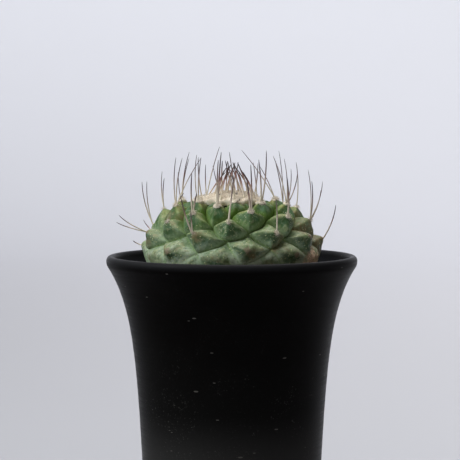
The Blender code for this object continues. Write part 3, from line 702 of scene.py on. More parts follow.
def crease_depth(distance):
    deepened = CROWN_RELIEF + (RELIEF - CROWN_RELIEF) * eased(distance, *CREASES_DEEPEN)
    return deepened * (1 - eased(distance, *CREASES_FADE))


def sampled(points, size, seed):
    """Smooth noise, -1 to 1, at each of these points, with features of this size."""
    shift = Vector((seed, 2.3 * seed, -1.7 * seed))
    return np.array([noise.noise(Vector(point) / size + shift) for point in points.tolist()])


def rounded(eight, thirteen):
    """How far a point is from its tubercle's tip, 0 to 1, with the ridges between its faces rounded."""
    one, other = 1 - abs(eight), 1 - abs(thirteen)
    near = one * other / np.maximum((one**ROUNDING + other**ROUNDING) ** (1 / ROUNDING), 1e-6)
    return 1 - 2 ** (1 / ROUNDING) * near


def face_height(out, old, even, ageing, power):
    """One face's height, which falls from 1 at the tip to 0 in the crease."""
    even = even + ageing * old
    return 1 - even * out - (1 - even) * out**power


def bell(away, width):
    """1 in the middle, and less the further away."""
    return np.exp(-((away / width) ** 2))


def tubercle_form(edge, way, old):
    """A tubercle's height over its creases, 0 to 1: steep above, ridged to both sides, keeled and
    plump below. Edge is 0 at the tip and 1 in the crease, and way is -1 above the tip and 1 below."""
    out = (np.sqrt(edge**2 + BLUNT_TIP**2) - BLUNT_TIP) / (math.sqrt(1 + BLUNT_TIP**2) - BLUNT_TIP)
    above = (1 - out) ** (FACE_ABOVE + FACE_ABOVE_OLD * old)
    kinds = (FACE_BELOW, FACE_BESIDE, FACE_KEEL)
    below, side, keel = (face_height(out, old, *kind) for kind in kinds)
    form = above + (below - above) * eased(way, *TURNS_BELOW)
    form = form + (side - form) * bell(way, RIDGE_WIDTH + RIDGE_WIDENS * old)
    return form + (keel - form) * bell(1 - way, KEEL_WIDTH)


def on_cell(index, eight, thirteen):
    """A tubercle's surface, -1 to 1 along the rows of 8 and of 13, with the marks that colour it."""
    edge = np.maximum(abs(eight), abs(thirteen))
    way = (eight + thirteen) / 2 / np.maximum(edge, 1e-6)
    # The tip drifts off its spiral, and the four crossings round it are each bent their own way
    turn, rows = DRIFT.get(index, (0, 0))
    row = index + HALF_CELL * TIP_LIFT
    angle = angle_of(index) + math.radians(turn) * (1 - edge)
    for spot, step, rise in ((eight, STEP_EIGHT, ROW_EIGHT), (thirteen, STEP_THIRTEEN, ROW_THIRTEEN)):
        across = spot - TIP_LIFT * (1 - spot**2)
        row = row + rise * across / 2
        angle = angle + step * across / 2
    row = row + rows * (1 - edge) - CREASE_RISE * eased(row, *CREASES_RISE) * edge
    for e, t in ((-1, -1), (-1, 1), (1, -1), (1, 1)):
        turn, rows = BENT.get(index + (e * ROW_EIGHT + t * ROW_THIRTEEN) / 2, (0, 0))
        near = (1 + e * eight) * (1 + t * thirteen) / 4 * edge
        row = row + rows * near
        angle = angle + math.radians(turn) * near
    bowed = eight**2 * (1 - thirteen**2) + thirteen**2 * (1 - eight**2)
    distance = arc_of(row) + CREASE_BOW * bowed
    around = np.stack([np.cos(angle), np.sin(angle), distance / WANDER_LENGTH], axis=-1)
    wander = WANDER * sampled(around, WANDER_SIZE, 9)
    distance = distance + wander * edge * eased(distance, *WANDER_STARTS)
    spots = np.stack([eight, thirteen, np.full_like(eight, SHAPE_APART * index)], axis=-1)
    loose = SHAPE_WANDER * sampled(spots, SHAPE_WANDER_SIZE, 8)
    loose = loose * np.cos(math.pi / 2 * way) * eased(edge, *SHAPE_WANDER_STARTS)
    loose = way + loose
    old = float(eased(index, *GROWN_OLD))
    from_tip = rounded(eight, thirteen)
    swell = np.maximum(tubercle_form(from_tip, loose, old), 0) ** FULLNESS
    swell = swell * eased(distance, *TIPS_START)
    swell = np.hypot(swell, VALLEY * eased(distance, *VALLEYS_FILL))
    nose = NOSE * old * float(eased(index, *NOSES_END)) * eased(NOSE_REACH - from_tip, 0, NOSE_REACH)
    point, outward = on_plant(distance, angle, crease_depth(distance) * (1 - swell) - nose)
    # Painted light: the side ridges, the upper faces and the keel are painted a lighter olive where they
    # catch the light from above, over their own olive
    lit_olive = SIDE_LIT_OLIVE * bell(way, SIDE_LIT_OLIVE_WIDTH) + TOP_LIT_OLIVE * eased(-way, *TOP_LIT_OLIVE_STARTS)
    keel = KEEL_LIT_OLIVE * bell(1 - way, KEEL_LIT_OLIVE_WIDTH) * (1 - eased(edge, *KEEL_LIT_OLIVE_ENDS))
    compass = np.stack([eight, thirteen], axis=-1) / np.maximum(np.hypot(eight, thirteen), 1e-6)[:, None]
    rays = compass * (STREAK_CORE + edge[:, None])
    rays = np.column_stack([rays, np.full_like(edge, STREAKS_APART * index)])
    streak = sampled(rays, STREAK_WIDTH, 6)
    marks = {
        "edge": edge,
        "streak": streak * eased(edge, *STREAKS_START) * (1 - eased(edge, *STREAKS_END)),
        "ridge": np.clip(lit_olive * (1 - eased(edge, *LIT_OLIVE_ENDS)) + keel, 0, 1),
        "age": np.clip((distance - YOUNG_END) / AGE_SPAN, 0, 1),
        # Painted shade: the bay below the tip is darkened where shade falls under it, over the skin's
        # bluer green there
        "under": eased(loose, *BAY_STARTS) * (1 - eased(edge, *BAY_ENDS)) * (1 + BAY_RAGGED * streak),
        "tip": bell(edge, SCAR_WIDTH + SCAR_WIDENS * old) * (1 + SCAR_RAGGED * streak),
        "old": np.full_like(distance, float(index)),
    }
    return point, outward, marks


def patches(point, table, softness):
    """How far a point of the skin lies in the ragged patches of this table, 0 to 1."""
    ragged = sum(much * sampled(point, size, seed) for much, size, seed in RAGS)
    angle = np.degrees(np.arctan2(point[:, 0], -point[:, 1]))
    radius = np.hypot(point[:, 0], point[:, 1])
    inside = np.zeros(len(point))
    for middle, height, reach in table:
        sideways = np.radians((angle - middle + 180) % 360 - 180) * radius
        away = np.hypot(sideways, point[:, 2] - SOIL_TOP - height * MM) / (reach * MM)
        inside = np.maximum(inside, eased(1 - away + ragged, 0, softness))
    return inside


def marked_with(marks, made):
    """Gives the points of a mesh these marks, which its material reads."""
    for name, values in marks.items():
        layer = made.data.attributes.new(name, "FLOAT", "POINT")
        layer.data.foreach_set("value", values.astype(np.float32))
    return made


def make_skin_mesh():
    """All the tubercles as fine grids that meet in the creases."""
    line = np.linspace(-1, 1, CELL_STEPS + 1)
    eight, thirteen = (grid.ravel() for grid in np.meshgrid(line, line, indexing="ij"))
    side = CELL_STEPS + 1
    points, ways, faces, marks = [], [], [], {}
    for index in range(FIRST_TUBERCLE, LAST_TUBERCLE + 1):
        point, outward, marked = on_cell(index, eight, thirteen)
        start = len(points) * side * side
        points.append(point)
        ways.append(outward)
        for name, values in marked.items():
            marks.setdefault(name, []).append(values)
        for i in range(CELL_STEPS):
            for j in range(CELL_STEPS):
                here = start + i * side + j
                faces.append((here, here + 1, here + side + 1, here + side))
    points, ways = np.concatenate(points), np.concatenate(ways)
    marks = {name: np.concatenate(values) for name, values in marks.items()}
    marks["cork"] = patches(points, CORK, CORK_SOFTNESS)
    marks["dry"] = patches(points, DRY, DRY_SOFTNESS)
    lumps = SKIN_LUMPS * sampled(points, LUMP_SIZE, 1)
    lumps = lumps + SKIN_WRINKLES * marks["age"] * sampled(points, WRINKLE_SIZE, 2)
    lumps = lumps + STREAK_HEIGHT * marks["age"] * marks["streak"]
    lumps = lumps * (LUMPS_IN_CREASE + (1 - LUMPS_IN_CREASE) * (1 - marks["edge"]))
    strands = sampled(points * [1, 1, STRAND_STRETCH], STRAND_SIZE, 5)
    lumps = lumps + (CORK_LIFT + CORK_STRANDS * strands) * marks["cork"]
    body = mesh_object("plant_body", points + ways * lumps[:, None], faces)
    return marked_with(marks, body)


def weld_and_root(body):
    """Welds the tubercles' shared edges, and adds the top under the wool and the taproot."""
    bm = bmesh.new()
    bm.from_mesh(body.data)
    bmesh.ops.remove_doubles(bm, verts=bm.verts, dist=WELD)
    top = SOIL_TOP + TOP_EDGE
    rims = [edge for edge in bm.edges if edge.is_boundary and edge.verts[0].co.z > top]
    bmesh.ops.contextual_create(bm, geom=rims)
    angles = np.arange(ROOT_SEGMENTS) * TURN / ROOT_SEGMENTS
    rings = []
    for distance in np.linspace(arc_of(LAST_TUBERCLE), MERIDIAN_LENGTHS[-1], ROOT_RINGS):
        ring, _ = on_plant(np.full(ROOT_SEGMENTS, distance), angles, ROOT_INSET)
        rings.append([bm.verts.new(point) for point in ring])
    for upper, lower in zip(rings, rings[1:]):
        for here in range(ROOT_SEGMENTS):
            ahead = (here + 1) % ROOT_SEGMENTS
            bm.faces.new((upper[here], upper[ahead], lower[ahead], lower[here]))
    bmesh.ops.recalc_face_normals(bm, faces=bm.faces)
    bm.to_mesh(body.data)
    bm.free()
    body.data.shade_smooth()


def attribute(tree, name):
    """A mark that the mesh carries, such as how near a crease a point is."""
    return place(tree, "Attribute", attribute_name=name).outputs["Fac"]


def make_cactus_skin():
    skin, tree, shader, where = finish_named("cactus_skin")
    edge, ridge, age, streak = (attribute(tree, name) for name in ("edge", "ridge", "age", "streak"))
    tip, index, cork, under = (attribute(tree, name) for name in ("tip", "old", "cork", "under"))
    grain, mottle, bloom = grained(where, 2600, 210), grained(where, 900, 620), grained(where, 300, 330)
    dots, freckles = specked(where, 900, 0.19, 0.75), specked(where, 620, 0.16, 0.4)
    # The green, from the newest to the oldest skin
    newest = mixed(mottle["Patches"], (0.038, 0.078, 0.006), (0.078, 0.142, 0.020))
    young = mixed(mottle["Patches"], (0.052, 0.118, 0.014), (0.108, 0.212, 0.046))
    waxy = times(times(bloom["Patches"], 0.75), spread(edge, 0.95, 0.6))
    young = mixed(waxy, young, (0.085, 0.215, 0.110))
    young = mixed(spread(age, 0.0, 0.32), newest, young)
    faded = mixed(grain["Patches"], (0.130, 0.222, 0.128), (0.305, 0.395, 0.295))
    faded = mixed(spread(bloom["Patches"], 0.5, 0.75, 0.0, 0.7), faded, (0.44, 0.53, 0.44))
    # Olive ridges, partly their own olive and partly painted light where they catch the light from above,
    # and a darker bay below each tip, partly painted shade
    lit_olive = mixed(mottle["Patches"], (0.20, 0.22, 0.045), (0.33, 0.35, 0.12))
    grey_lit_olive = mixed(mottle["Patches"], (0.18, 0.215, 0.09), (0.34, 0.38, 0.225))
    lit_olive = mixed(spread(age, 0.3, 0.6), lit_olive, grey_lit_olive)
    # Painted shade below each tip, in the darker, bluer green the skin has there
    shaded_bay = mixed(bloom["Patches"], (0.030, 0.072, 0.020), (0.064, 0.140, 0.066))
    # Streaks from the tip down, pale and dark
    pale_streaks = times(spread(streak, 0.05, 0.45), spread(age, 0.2, 0.7, 0.2, 0.5))
    dark_streaks = spread(streak, -0.05, -0.45, 0.0, 0.4)
    # Pale rims along the creases, chalk on the oldest, and a fine line and shade in the crease itself
    rim = times(spread(edge, 0.68, 0.92, 0.0, 0.6), spread(age, 0.15, 0.5, 0.45, 1.0))
    rim_colour = mixed(spread(age, 0.3, 0.65), (0.17, 0.26, 0.04), (0.34, 0.44, 0.265))
    chalk = times(spread(age, 0.82, 1.0), spread(edge, 0.35, 0.7))
    chalk = times(chalk, spread(grain["Patches"], 0.3, 0.7, 0.1, 0.75))
    line = times(spread(edge, 0.91, 0.985, 0.0, 0.65), spread(age, 0.2, 0.45))
    line = times(line, spread(age, 1.0, 0.8, 0.25, 1.0))
    shade = times(spread(edge, 0.93, 1.0, 0.0, 0.45), spread(age, 0.6, 0.3))
    # Pale and dark grains, dry patches, dots and freckles
    pale_grains = times(spread(mottle["Height"], 0.52, 0.72), spread(age, 0.3, 0.8, 0.1, 0.5))
    dark_grains = times(spread(mottle["Height"], 0.48, 0.3), spread(age, 0.2, 0.7, 0.2, 0.55))
    dryness = times(attribute(tree, "dry"), spread(mottle["Patches"], 0.2, 0.6, 0.45, 0.95))
    dry = mixed(grain["Height"], (0.080, 0.064, 0.020), (0.34, 0.285, 0.15))
    pale_dots = times(dots, spread(age, 0.1, 0.9, 0.3, 1.0))
    freckled = times(freckles, spread(age, 0.3, 0.9, 0.1, 0.6))
    # Worn ridges, scars where old areoles have gone, and bark
    worn = times(times(spread(mottle["Patches"], 0.55, 0.9), ridge), 0.45)
    scar = times(spread(tip, 0.2, 0.7), spread(index, 39.0, 47.0))
    scar = times(scar, spread(index, 61.0, 59.0))
    scarred = mixed(grain["Height"], (0.05, 0.035, 0.018), (0.44, 0.37, 0.25))
    bark = mixed(spread(grain["Height"], 0.35, 0.65), (0.40, 0.25, 0.16), (0.95, 0.74, 0.57))
    coats = [
        (spread(age, 0.5, 0.85), faded),
        # The ridges' olive with painted light, then the bay's painted shade
        (times(ridge, 0.8), lit_olive),
        (times(under, 0.85), shaded_bay),
        (pale_streaks, (0.34, 0.37, 0.20)),
        (dark_streaks, (0.05, 0.10, 0.03)),
        (rim, rim_colour),
        (chalk, (0.46, 0.505, 0.40)),
        (line, (0.150, 0.245, 0.045)),
        (shade, (0.035, 0.055, 0.012)),
        (pale_grains, (0.48, 0.55, 0.38)),
        (dark_grains, (0.055, 0.085, 0.022)),
        (dryness, dry),
        (pale_dots, (0.52, 0.55, 0.31)),
        (freckled, (0.09, 0.10, 0.035)),
        (worn, (0.20, 0.13, 0.06)),
        (scar, scarred),
        (cork, bark),
    ]
    finish = {
        "Base Color": coated(young, coats),
        "Roughness": plus(spread(mottle["Patches"], 0.0, 1.0, 0.42, 0.56), times(cork, 0.3)),
        "Specular IOR Level": 0.18,
        "Subsurface Weight": 0.08,
        "Subsurface Radius": (0.6, 1.0, 0.3),
        "Subsurface Scale": 1.2 * MM,
    }
    feed(shader, finish)
    pores, raised = (grain["Height"], 0.05 * MM, 0.7), (dots, 0.03 * MM, 0.5)
    bumped(shader, pores, raised, (mottle["Height"], 0.12 * MM, 0.7))
    return skin


body = make_skin_mesh()
weld_and_root(body)
body.data.materials.append(make_cactus_skin())
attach(body, "root")
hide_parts("cactus")


# Wool. Young areoles make a dense cream wool. On the crown it holds together as one low cushion with
# a scalloped edge; on each young tubercle's tip it is a small pad, which wears away with age.
WOOL_RADIUS = 10.2 * MM
WOOL_HEIGHT = 4.7 * MM
WOOL_SIDE = 2.0 * MM
WOOL_DOME_POWER = 2.4
WOOL_LOBES = 13
LOBE_DEPTH = 0.05
UNEVEN_LOBES = 5
WOOL_UNEVENNESS = 0.03
WOOL_RIPPLE = 0.35 * MM
RIPPLES_ROUND = 8
RIPPLES_OUT = 9
# The cushion bulges out a little under its edge, and is drawn in at its foot
WOOL_BULGE = 1.015
BULGE_DEPTH = 0.9 * MM
WOOL_FOOT = 0.93
CUSHION_RINGS = 36
CUSHION_SEGMENTS = 130
CROWN_BASE = float(on_plant(0.0, 0.0, CROWN_RELIEF)[0][2]) + 0.3 * MM
PUFFS = 22
PUFF_START = 0.3
PUFF_SPREAD = 0.96
PUFF_HEIGHT = 0.2 * MM
PUFF_SINK = 0.75
PUFF_REACH = 1.5 * MM
WOOL_LUMPS = 0.08 * MM
WOOL_LUMP_SIZE = 0.8 * MM
FIRST_PAD = 14
LAST_PAD = 46
PAD_RADIUS = 1.9 * MM
PAD_SHRINK = 0.042 * MM
PAD_SUNK = 0.25 * MM
PAD_ROUGHNESS = 0.4
PAD_LUMP_SIZE = 0.9 * MM
PAD_FLATNESS = 0.7
# Pads that have worn away more than their neighbours: the share of their size that is left
WORN_PADS = {22: 0.5, 31: 0.75, 39: 0.6, 44: 0.5}
CROWN_HAIRS = 4200
CROWN_HAIR = 1.8 * MM
PAD_HAIRS = 110
PAD_HAIR = 1.5 * MM
HAIR_LENGTHS = (0.6, 1.3)
HAIR_RADIUS = 0.03 * MM
HAIR_FOOT = 1.05
HAIR_TAPER = 0.7
HAIR_STEPS = 4
HAIR_SIDES = 3
HAIR_TWIST = 0.5
HAIR_LIE = 0.75
# A hair starts just under the surface and bows over: how high, how far round the bow, and how deep
HAIR_BOW = (0.24, 2.4, 0.04)
# How straight a pad's hairs stand out, and the share of the pad's radius that they start from
PAD_HAIR_STAND = 1.2
PAD_HAIR_ROOT = 0.9
CROWN_HAIR_STAND = 1.1
WOOL_SEED = 41
# A way that no hair or spine runs along, from which the sides of its tube are counted
TUBE_START = (0.31, 0.87, 0.38)
# Crumbs in the crown's wool: the way round in degrees, the share of its radius, and their own in mm
CRUMBS = [
    (15, 0.64, 0.62), (17, 0.94, 0.4), (-38, 0.7, 0.4), (64, 0.62, 0.4), (150, 0.55, 0.4),
    (-120, 0.8, 0.4),
]
CRUMB_ROUGHNESS = 0.3
CRUMB_LUMP_SIZE = 0.4 * MM
CRUMB_FLATNESS = 0.7
CRUMB_LIFT = 0.12 * MM


def crown_surface(share, angle):
    """The cushion's top, from its middle (0) to its edge (1)."""
    lobes = LOBE_DEPTH * np.cos(WOOL_LOBES * angle)
    lobes = lobes + WOOL_UNEVENNESS * np.cos(UNEVEN_LOBES * angle + 1)
    radius = WOOL_RADIUS * share * (1 + lobes * share**2)
    dome = WOOL_SIDE + (WOOL_HEIGHT - WOOL_SIDE) * (1 - share**WOOL_DOME_POWER)
    dome = dome + WOOL_RIPPLE * np.sin(RIPPLES_ROUND * angle + RIPPLES_OUT * share) * share
    return round_axis(radius, angle, CROWN_BASE + dome)


def puffed(points):
    """The cushion's top swells over each young areole, and sinks between them."""
    young = np.arange(PUFFS)
    radius = WOOL_RADIUS * PUFF_SPREAD * np.sqrt((young + PUFF_START) / PUFFS)
    middles = round_axis(radius, angle_of(young), 0)[:, :2]
    away = np.linalg.norm(points[:, None, :2] - middles[None], axis=-1).min(axis=1)
    lift = PUFF_HEIGHT * (bell(away, PUFF_REACH) - PUFF_SINK)
    lift = lift + WOOL_LUMPS * sampled(points, WOOL_LUMP_SIZE, 7)
    return points + np.array([0, 0, 1]) * lift[:, None]


def make_cushion():
    rings, segments = CUSHION_RINGS, CUSHION_SEGMENTS
    angle = np.arange(segments) * TURN / segments
    points = [crown_surface(step / rings, angle) for step in range(1, rings + 1)]
    points.append(points[-1] * [WOOL_BULGE, WOOL_BULGE, 1] - [0, 0, BULGE_DEPTH])
    foot = points[rings - 1] * [WOOL_FOOT, WOOL_FOOT, 0] + [0, 0, CROWN_BASE]
    flat = puffed(np.concatenate([*points, crown_surface(0, np.zeros(1))]))
    flat = np.concatenate([flat[:-1], foot, flat[-1:]])
    faces = []
    for ring in range(rings + 1):
        for around in range(segments):
            here, ahead = ring * segments + around, ring * segments + (around + 1) % segments
            faces.append((here, here + segments, ahead + segments, ahead))
    top = len(flat) - 1
    faces += [(top, around, (around + 1) % segments) for around in range(segments)]
    return mesh_object("wool_cushion", flat, faces)


def tubes(name, paths, radii, sides, marks):
    """One mesh of many fine tubes along these paths, with a mark for each point of each path."""
    count, steps, _ = paths.shape
    along = np.gradient(paths, axis=1)
    along /= np.linalg.norm(along, axis=2, keepdims=True) + 1e-12
    across = np.cross(along, TUBE_START)
    across /= np.linalg.norm(across, axis=2, keepdims=True) + 1e-12
    upward = np.cross(along, across)
    turn = np.arange(sides) * TURN / sides
    ring = across[:, :, None] * np.cos(turn)[:, None] + upward[:, :, None] * np.sin(turn)[:, None]
    points = (paths[:, :, None] + ring * radii[:, :, None, None]).reshape(-1, 3)
    first = (np.arange(count)[:, None, None] * steps + np.arange(steps - 1)[:, None]) * sides
    here = first + np.arange(sides)
    ahead = first + (np.arange(sides) + 1) % sides
    faces = np.stack([here, ahead, ahead + sides, here + sides], axis=-1).reshape(-1, 4)
    marks = {mark: np.repeat(values.ravel(), sides) for mark, values in marks.items()}
    return marked_with(marks, mesh_object(name, points, faces.tolist()))


def wool_hairs(name, roots, ways, length, draw):
    """Curled wool hairs from these roots, lying mostly along the surface."""
    count = len(roots)
    lie = draw.normal(size=(count, 3))
    lie -= ways * (lie * ways).sum(axis=1, keepdims=True)
    lie /= np.linalg.norm(lie, axis=1, keepdims=True)
    curl = np.cross(ways, lie)
    size = (length * draw.uniform(*HAIR_LENGTHS, count))[:, None]
    twist = draw.uniform(-HAIR_TWIST, HAIR_TWIST, count)[:, None]
    share = np.linspace(0, 1, HAIR_STEPS + 1)
    high, bow, deep = HAIR_BOW
    paths = []
    for t in share:
        rise = high * math.sin(bow * t) - deep
        paths.append(roots + size * (ways * rise + lie * HAIR_LIE * t + curl * twist * t * t))
    paths = np.stack(paths, axis=1)
    radii = HAIR_RADIUS * (HAIR_FOOT - HAIR_TAPER * share) * np.ones((count, 1))
    marks = {"along": share * np.ones((count, 1)), "tone": draw.uniform(0, 1, (count, 1)) + 0 * share}
    return tubes(name, paths, radii, HAIR_SIDES, marks)


def areole(index):
    """The tip of a tubercle, and the way out of the plant there."""
    (point,), (outward,), _ = on_cell(index, np.zeros(1), np.zeros(1))
    return point, outward


def rough_ball(bm, radius, fineness, roughness, size, shift):
    """Adds a ball with an uneven surface to a bmesh."""
    made = bmesh.ops.create_icosphere(bm, subdivisions=fineness, radius=radius)["verts"]
    for vert in made:
        vert.co *= 1 + roughness * noise.noise(vert.co / size + Vector(shift))
    return made


def pad_radius(index):
    return (PAD_RADIUS - PAD_SHRINK * (index - FIRST_PAD)) * WORN_PADS.get(index, 1)


def make_pads():
    """The pads' cores, one flattened ball for each young areole, as one mesh."""
    bm = bmesh.new()
    for index in range(FIRST_PAD, LAST_PAD + 1):
        point, outward = areole(index)
        made = rough_ball(bm, pad_radius(index), 3, PAD_ROUGHNESS, PAD_LUMP_SIZE, (index, 0, 0))
        for vert in made:
            vert.co.z *= PAD_FLATNESS
        bmesh.ops.rotate(bm, verts=made, matrix=Vector(outward).to_track_quat("Z", "Y").to_matrix())
        bmesh.ops.translate(bm, verts=made, vec=Vector(point - outward * PAD_SUNK))
    return object_from("wool_pads", bm)


def roots_on_pads(draw):
    roots, ways = [], []
    for index in range(FIRST_PAD, LAST_PAD + 1):
        point, outward = areole(index)
        way = draw.normal(size=(PAD_HAIRS, 3)) + outward * PAD_HAIR_STAND
        way /= np.linalg.norm(way, axis=1, keepdims=True)
        roots.append(point - outward * PAD_SUNK + way * pad_radius(index) * PAD_HAIR_ROOT)
        ways.append(way)
    return np.concatenate(roots), np.concatenate(ways)


def roots_on_cushion(draw):
    share = np.sqrt(draw.uniform(0, 1, CROWN_HAIRS))
    angle = draw.uniform(0, TURN, CROWN_HAIRS)
    roots = puffed(crown_surface(share, angle))
    ways = round_axis(share**3, angle, CROWN_HAIR_STAND - share)
    return roots, ways / np.linalg.norm(ways, axis=1, keepdims=True)


def make_cream_wool():
    wool, tree, shader, where = finish_named("crown_wool")
    grain = grained(where, 4200, 380)
    colour = mixed(grain["Patches"], (0.78, 0.675, 0.555), (0.83, 0.735, 0.62))
    colour = mixed(times(attribute(tree, "tone"), 0.25), colour, (0.88, 0.80, 0.70))
    finish = {
        "Base Color": colour,
        "Roughness": spread(grain["Height"], 0.3, 0.7, 0.8, 0.95),
        "Specular IOR Level": 0.2,
        "Sheen Weight": 0.35,
        "Subsurface Weight": 0.1,
        "Subsurface Radius": (1.0, 0.9, 0.75),
        "Subsurface Scale": 0.6 * MM,
    }
    feed(shader, finish)
    bumped(shader, (grain["Height"], 0.12 * MM, 0.8))
    return wool


def make_dark_crumb():
    crumb, _, shader, where = finish_named("dark_crumb")
    grain = grained(where, 5000, 900)
    colour = mixed(grain["Patches"], (0.03, 0.02, 0.015), (0.10, 0.06, 0.04))
    feed(shader, {"Base Color": colour, "Roughness": 0.8})
    bumped(shader, (grain["Height"], 0.08 * MM, 1.0))
    return crumb


def make_crumbs():
    """Dark crumbs of old seed and dust, caught in the wool."""
    bm = bmesh.new()
    for number, (degrees, share, radius) in enumerate(CRUMBS):
        spot = puffed(crown_surface(np.array([share]), np.array([math.radians(degrees)])))[0]
        made = rough_ball(bm, radius * MM, 2, CRUMB_ROUGHNESS, CRUMB_LUMP_SIZE, (number, 5, 0))
        for vert in made:
            vert.co.x *= CRUMB_FLATNESS
        bmesh.ops.translate(bm, verts=made, vec=Vector(spot) + Vector((0, 0, CRUMB_LIFT)))
    crumbs = object_from("wool_crumbs", bm)
    crumbs.data.materials.append(make_dark_crumb())
    return crumbs


CREAM_WOOL = make_cream_wool()
wool_draw = np.random.default_rng(WOOL_SEED)
cushion = make_cushion()
cushion_hairs = wool_hairs("wool_cushion_hairs", *roots_on_cushion(wool_draw), CROWN_HAIR, wool_draw)
pads = make_pads()
pad_hairs = wool_hairs("wool_pad_hairs", *roots_on_pads(wool_draw), PAD_HAIR, wool_draw)
for piece in (cushion, cushion_hairs, pads, pad_hairs):
    piece.data.materials.append(CREAM_WOOL)
    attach(piece, "root")
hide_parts("crown")
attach(make_crumbs(), "root")


# Spines. Each areole grows a few stiff, bristly spines, cream at the root, then tan and grey, and
# nearly black at the tip. They stand almost upright, and the oldest tubercles have lost theirs.
SPINE_SEED = 11
SPINE_BASE = 0.33 * MM
SPINE_CLEAR = 0.9 * MM
SPINE_SINK = 1.2 * MM
SPINE_TRIES = 40
SPINE_BOW = 0.04
SPINE_TILT = 0.12
SPINE_SPREAD = 0.26
SPINE_COLLAR = 0.3 * MM
COLLAR_SHARE = 0.02
SPINE_SPOT = 0.25
SPINE_CHECKS = 6
CHECK_STEPS = 3
SPINE_THICKNESS = (0.85, 1.1)
SPINE_TIP = 0.22
SPINE_TAPER = 0.4
# Thicker where a spine leaves its areole, just under the surface and at it
SPINE_FOOT = (1.15, 1.2)
# Those further back are slimmer by this share, which comes in between these two places in Y
BACK_SLIMMER = 0.28
BACK_FADE = (-18 * MM, -6 * MM)
ROOT_SPACING = 0.35 * MM
BODY_SPINE = (13 * MM, 17 * MM)
CROWN_SPINE = (9.5 * MM, 12.5 * MM)
OLD_SPINE_LOSS = 3 * MM
OLD_SPINE_LEAN = 0.9
CROWN_SPINE_LEAN = -0.6
CROWN_SPINE_EDGE = 0.9
AGEING = (38, 56)
FIRST_SPINY = 2
FIRST_ON_BODY = 18
LAST_SPINY = 60
SPINE_STEPS = 16
SPINE_SIDES = 8
# Spines that show at the front and the sides: how far each tip lies to +X of its root, and above it
SPRAYS = {
    22: [], 23: [(0.9, 15.5)], 25: [(-0.8, 15.2), (1.6, 18.4)], 26: [(2.6, 17.4), (2.4, 15.0)],
    27: [(-12.4, 18.0), (-5.6, 12.2)], 28: [(0.5, 16.0), (1.2, 18.7)],
    29: [(-0.4, 13.0), (5.0, 19.5)], 30: [(-4.7, 17.1), (-0.9, 16.2), (1.4, 12.6), (3.5, 10.6)],
    31: [(0.1, 17.0), (2.2, 16.8), (2.6, 4.4)], 33: [(-0.2, 16.3), (-1.2, 11.0)], 34: [(8.9, 17.2)],
    35: [(-0.1, 16.4)], 36: [(-0.2, 14.0), (1.2, 7.0)], 38: [(-0.5, 14.6)],
    39: [(-0.7, 13.6), (0.1, 11.2)], 40: [(-2.8, 17.8), (-1.4, 22.4)], 41: [(2.0, 16.5)],
    43: [(-0.7, 18.0), (0.6, 13.8), (4.4, 13.7)], 44: [], 46: [(-0.2, 11.8)],
    47: [(-4.0, 15.4), (-2.1, 15.6)], 49: [(-3.9, 13.0), (-0.6, 8.0)], 51: [],
    52: [(-9.8, 6.0), (-10.6, 3.4)], 54: [], 56: [(4.5, 12.0)], 57: [], 59: [], 60: [(-3.0, 1.6)],
}


def spine_count(index, draw):
    """How many spines are left at this age: old tubercles have lost most of theirs."""
    if index < FIRST_ON_BODY:
        return draw.choice((1, 2))
    if index < AGEING[0]:
        return draw.choice((2, 2, 3))
    return draw.choice((1, 1, 2))


def drawn_spine(index, draw):
    """(root, way out of the plant, reach to the tip) of one spine, from the habit at this age."""
    if index < FIRST_ON_BODY:
        share = min(float(arc_of(index)) / WOOL_RADIUS, CROWN_SPINE_EDGE)
        root = Vector(crown_surface(share, angle_of(index) + draw.uniform(-SPINE_SPOT, SPINE_SPOT)))
        out = Vector((0, 0, 1))
        lean = CROWN_SPINE_LEAN * share
        length = draw.uniform(*CROWN_SPINE)
    else:
        root, out = (Vector(part) for part in areole(index))
        age = float(eased(index, *AGEING))
        lean = OLD_SPINE_LEAN * age
        length = draw.uniform(*BODY_SPINE) - OLD_SPINE_LOSS * age
    lean += draw.uniform(-SPINE_SPREAD, SPINE_SPREAD) / 2
    outward = Vector((root.x, root.y, 0)).normalized()
    sideways = Vector((-outward.y, outward.x, 0))
    aim = Vector((0, 0, 1)) + outward * math.tan(lean)
    aim += sideways * draw.uniform(-SPINE_SPREAD, SPINE_SPREAD)
    return root, out, aim.normalized() * length


def seen_spine(index, spot, right, up):
    """(root, way out of the plant, reach to the tip) of a spine whose tip shows at the front."""
    root, out = (Vector(part) for part in areole(index))
    sideways = Vector((-out.y, out.x, 0)).normalized() * ROOT_SPACING * spot
    return root + sideways, out, Vector((right * MM, SPINE_TILT * out.y * up * MM, up * MM))


def spine_path(root, out, reach, steps):
    """A line from just under the surface to the tip, bowed outwards and down."""
    outward = Vector((root.x, root.y, 0)).normalized()
    bow = outward * reach.length * SPINE_BOW * (1 + 2 * max(reach.normalized().dot(outward), 0))
    points = []
    for step in range(steps + 1):
        share = step / steps
        points.append(root + reach * share + bow * 4 * share * (1 - share))
    start = (points[1] - points[0]).normalized()
    return [root - out * SPINE_SINK, root + start * SPINE_COLLAR, *points[1:]]


def points_along(path):
    """Points close together along a spine, from its second point to its tip."""
    shares = [(step + 1) / SPINE_CHECKS for step in range(SPINE_CHECKS)]
    return [a.lerp(b, share) for a, b in zip(path[1:], path[2:]) for share in shares]


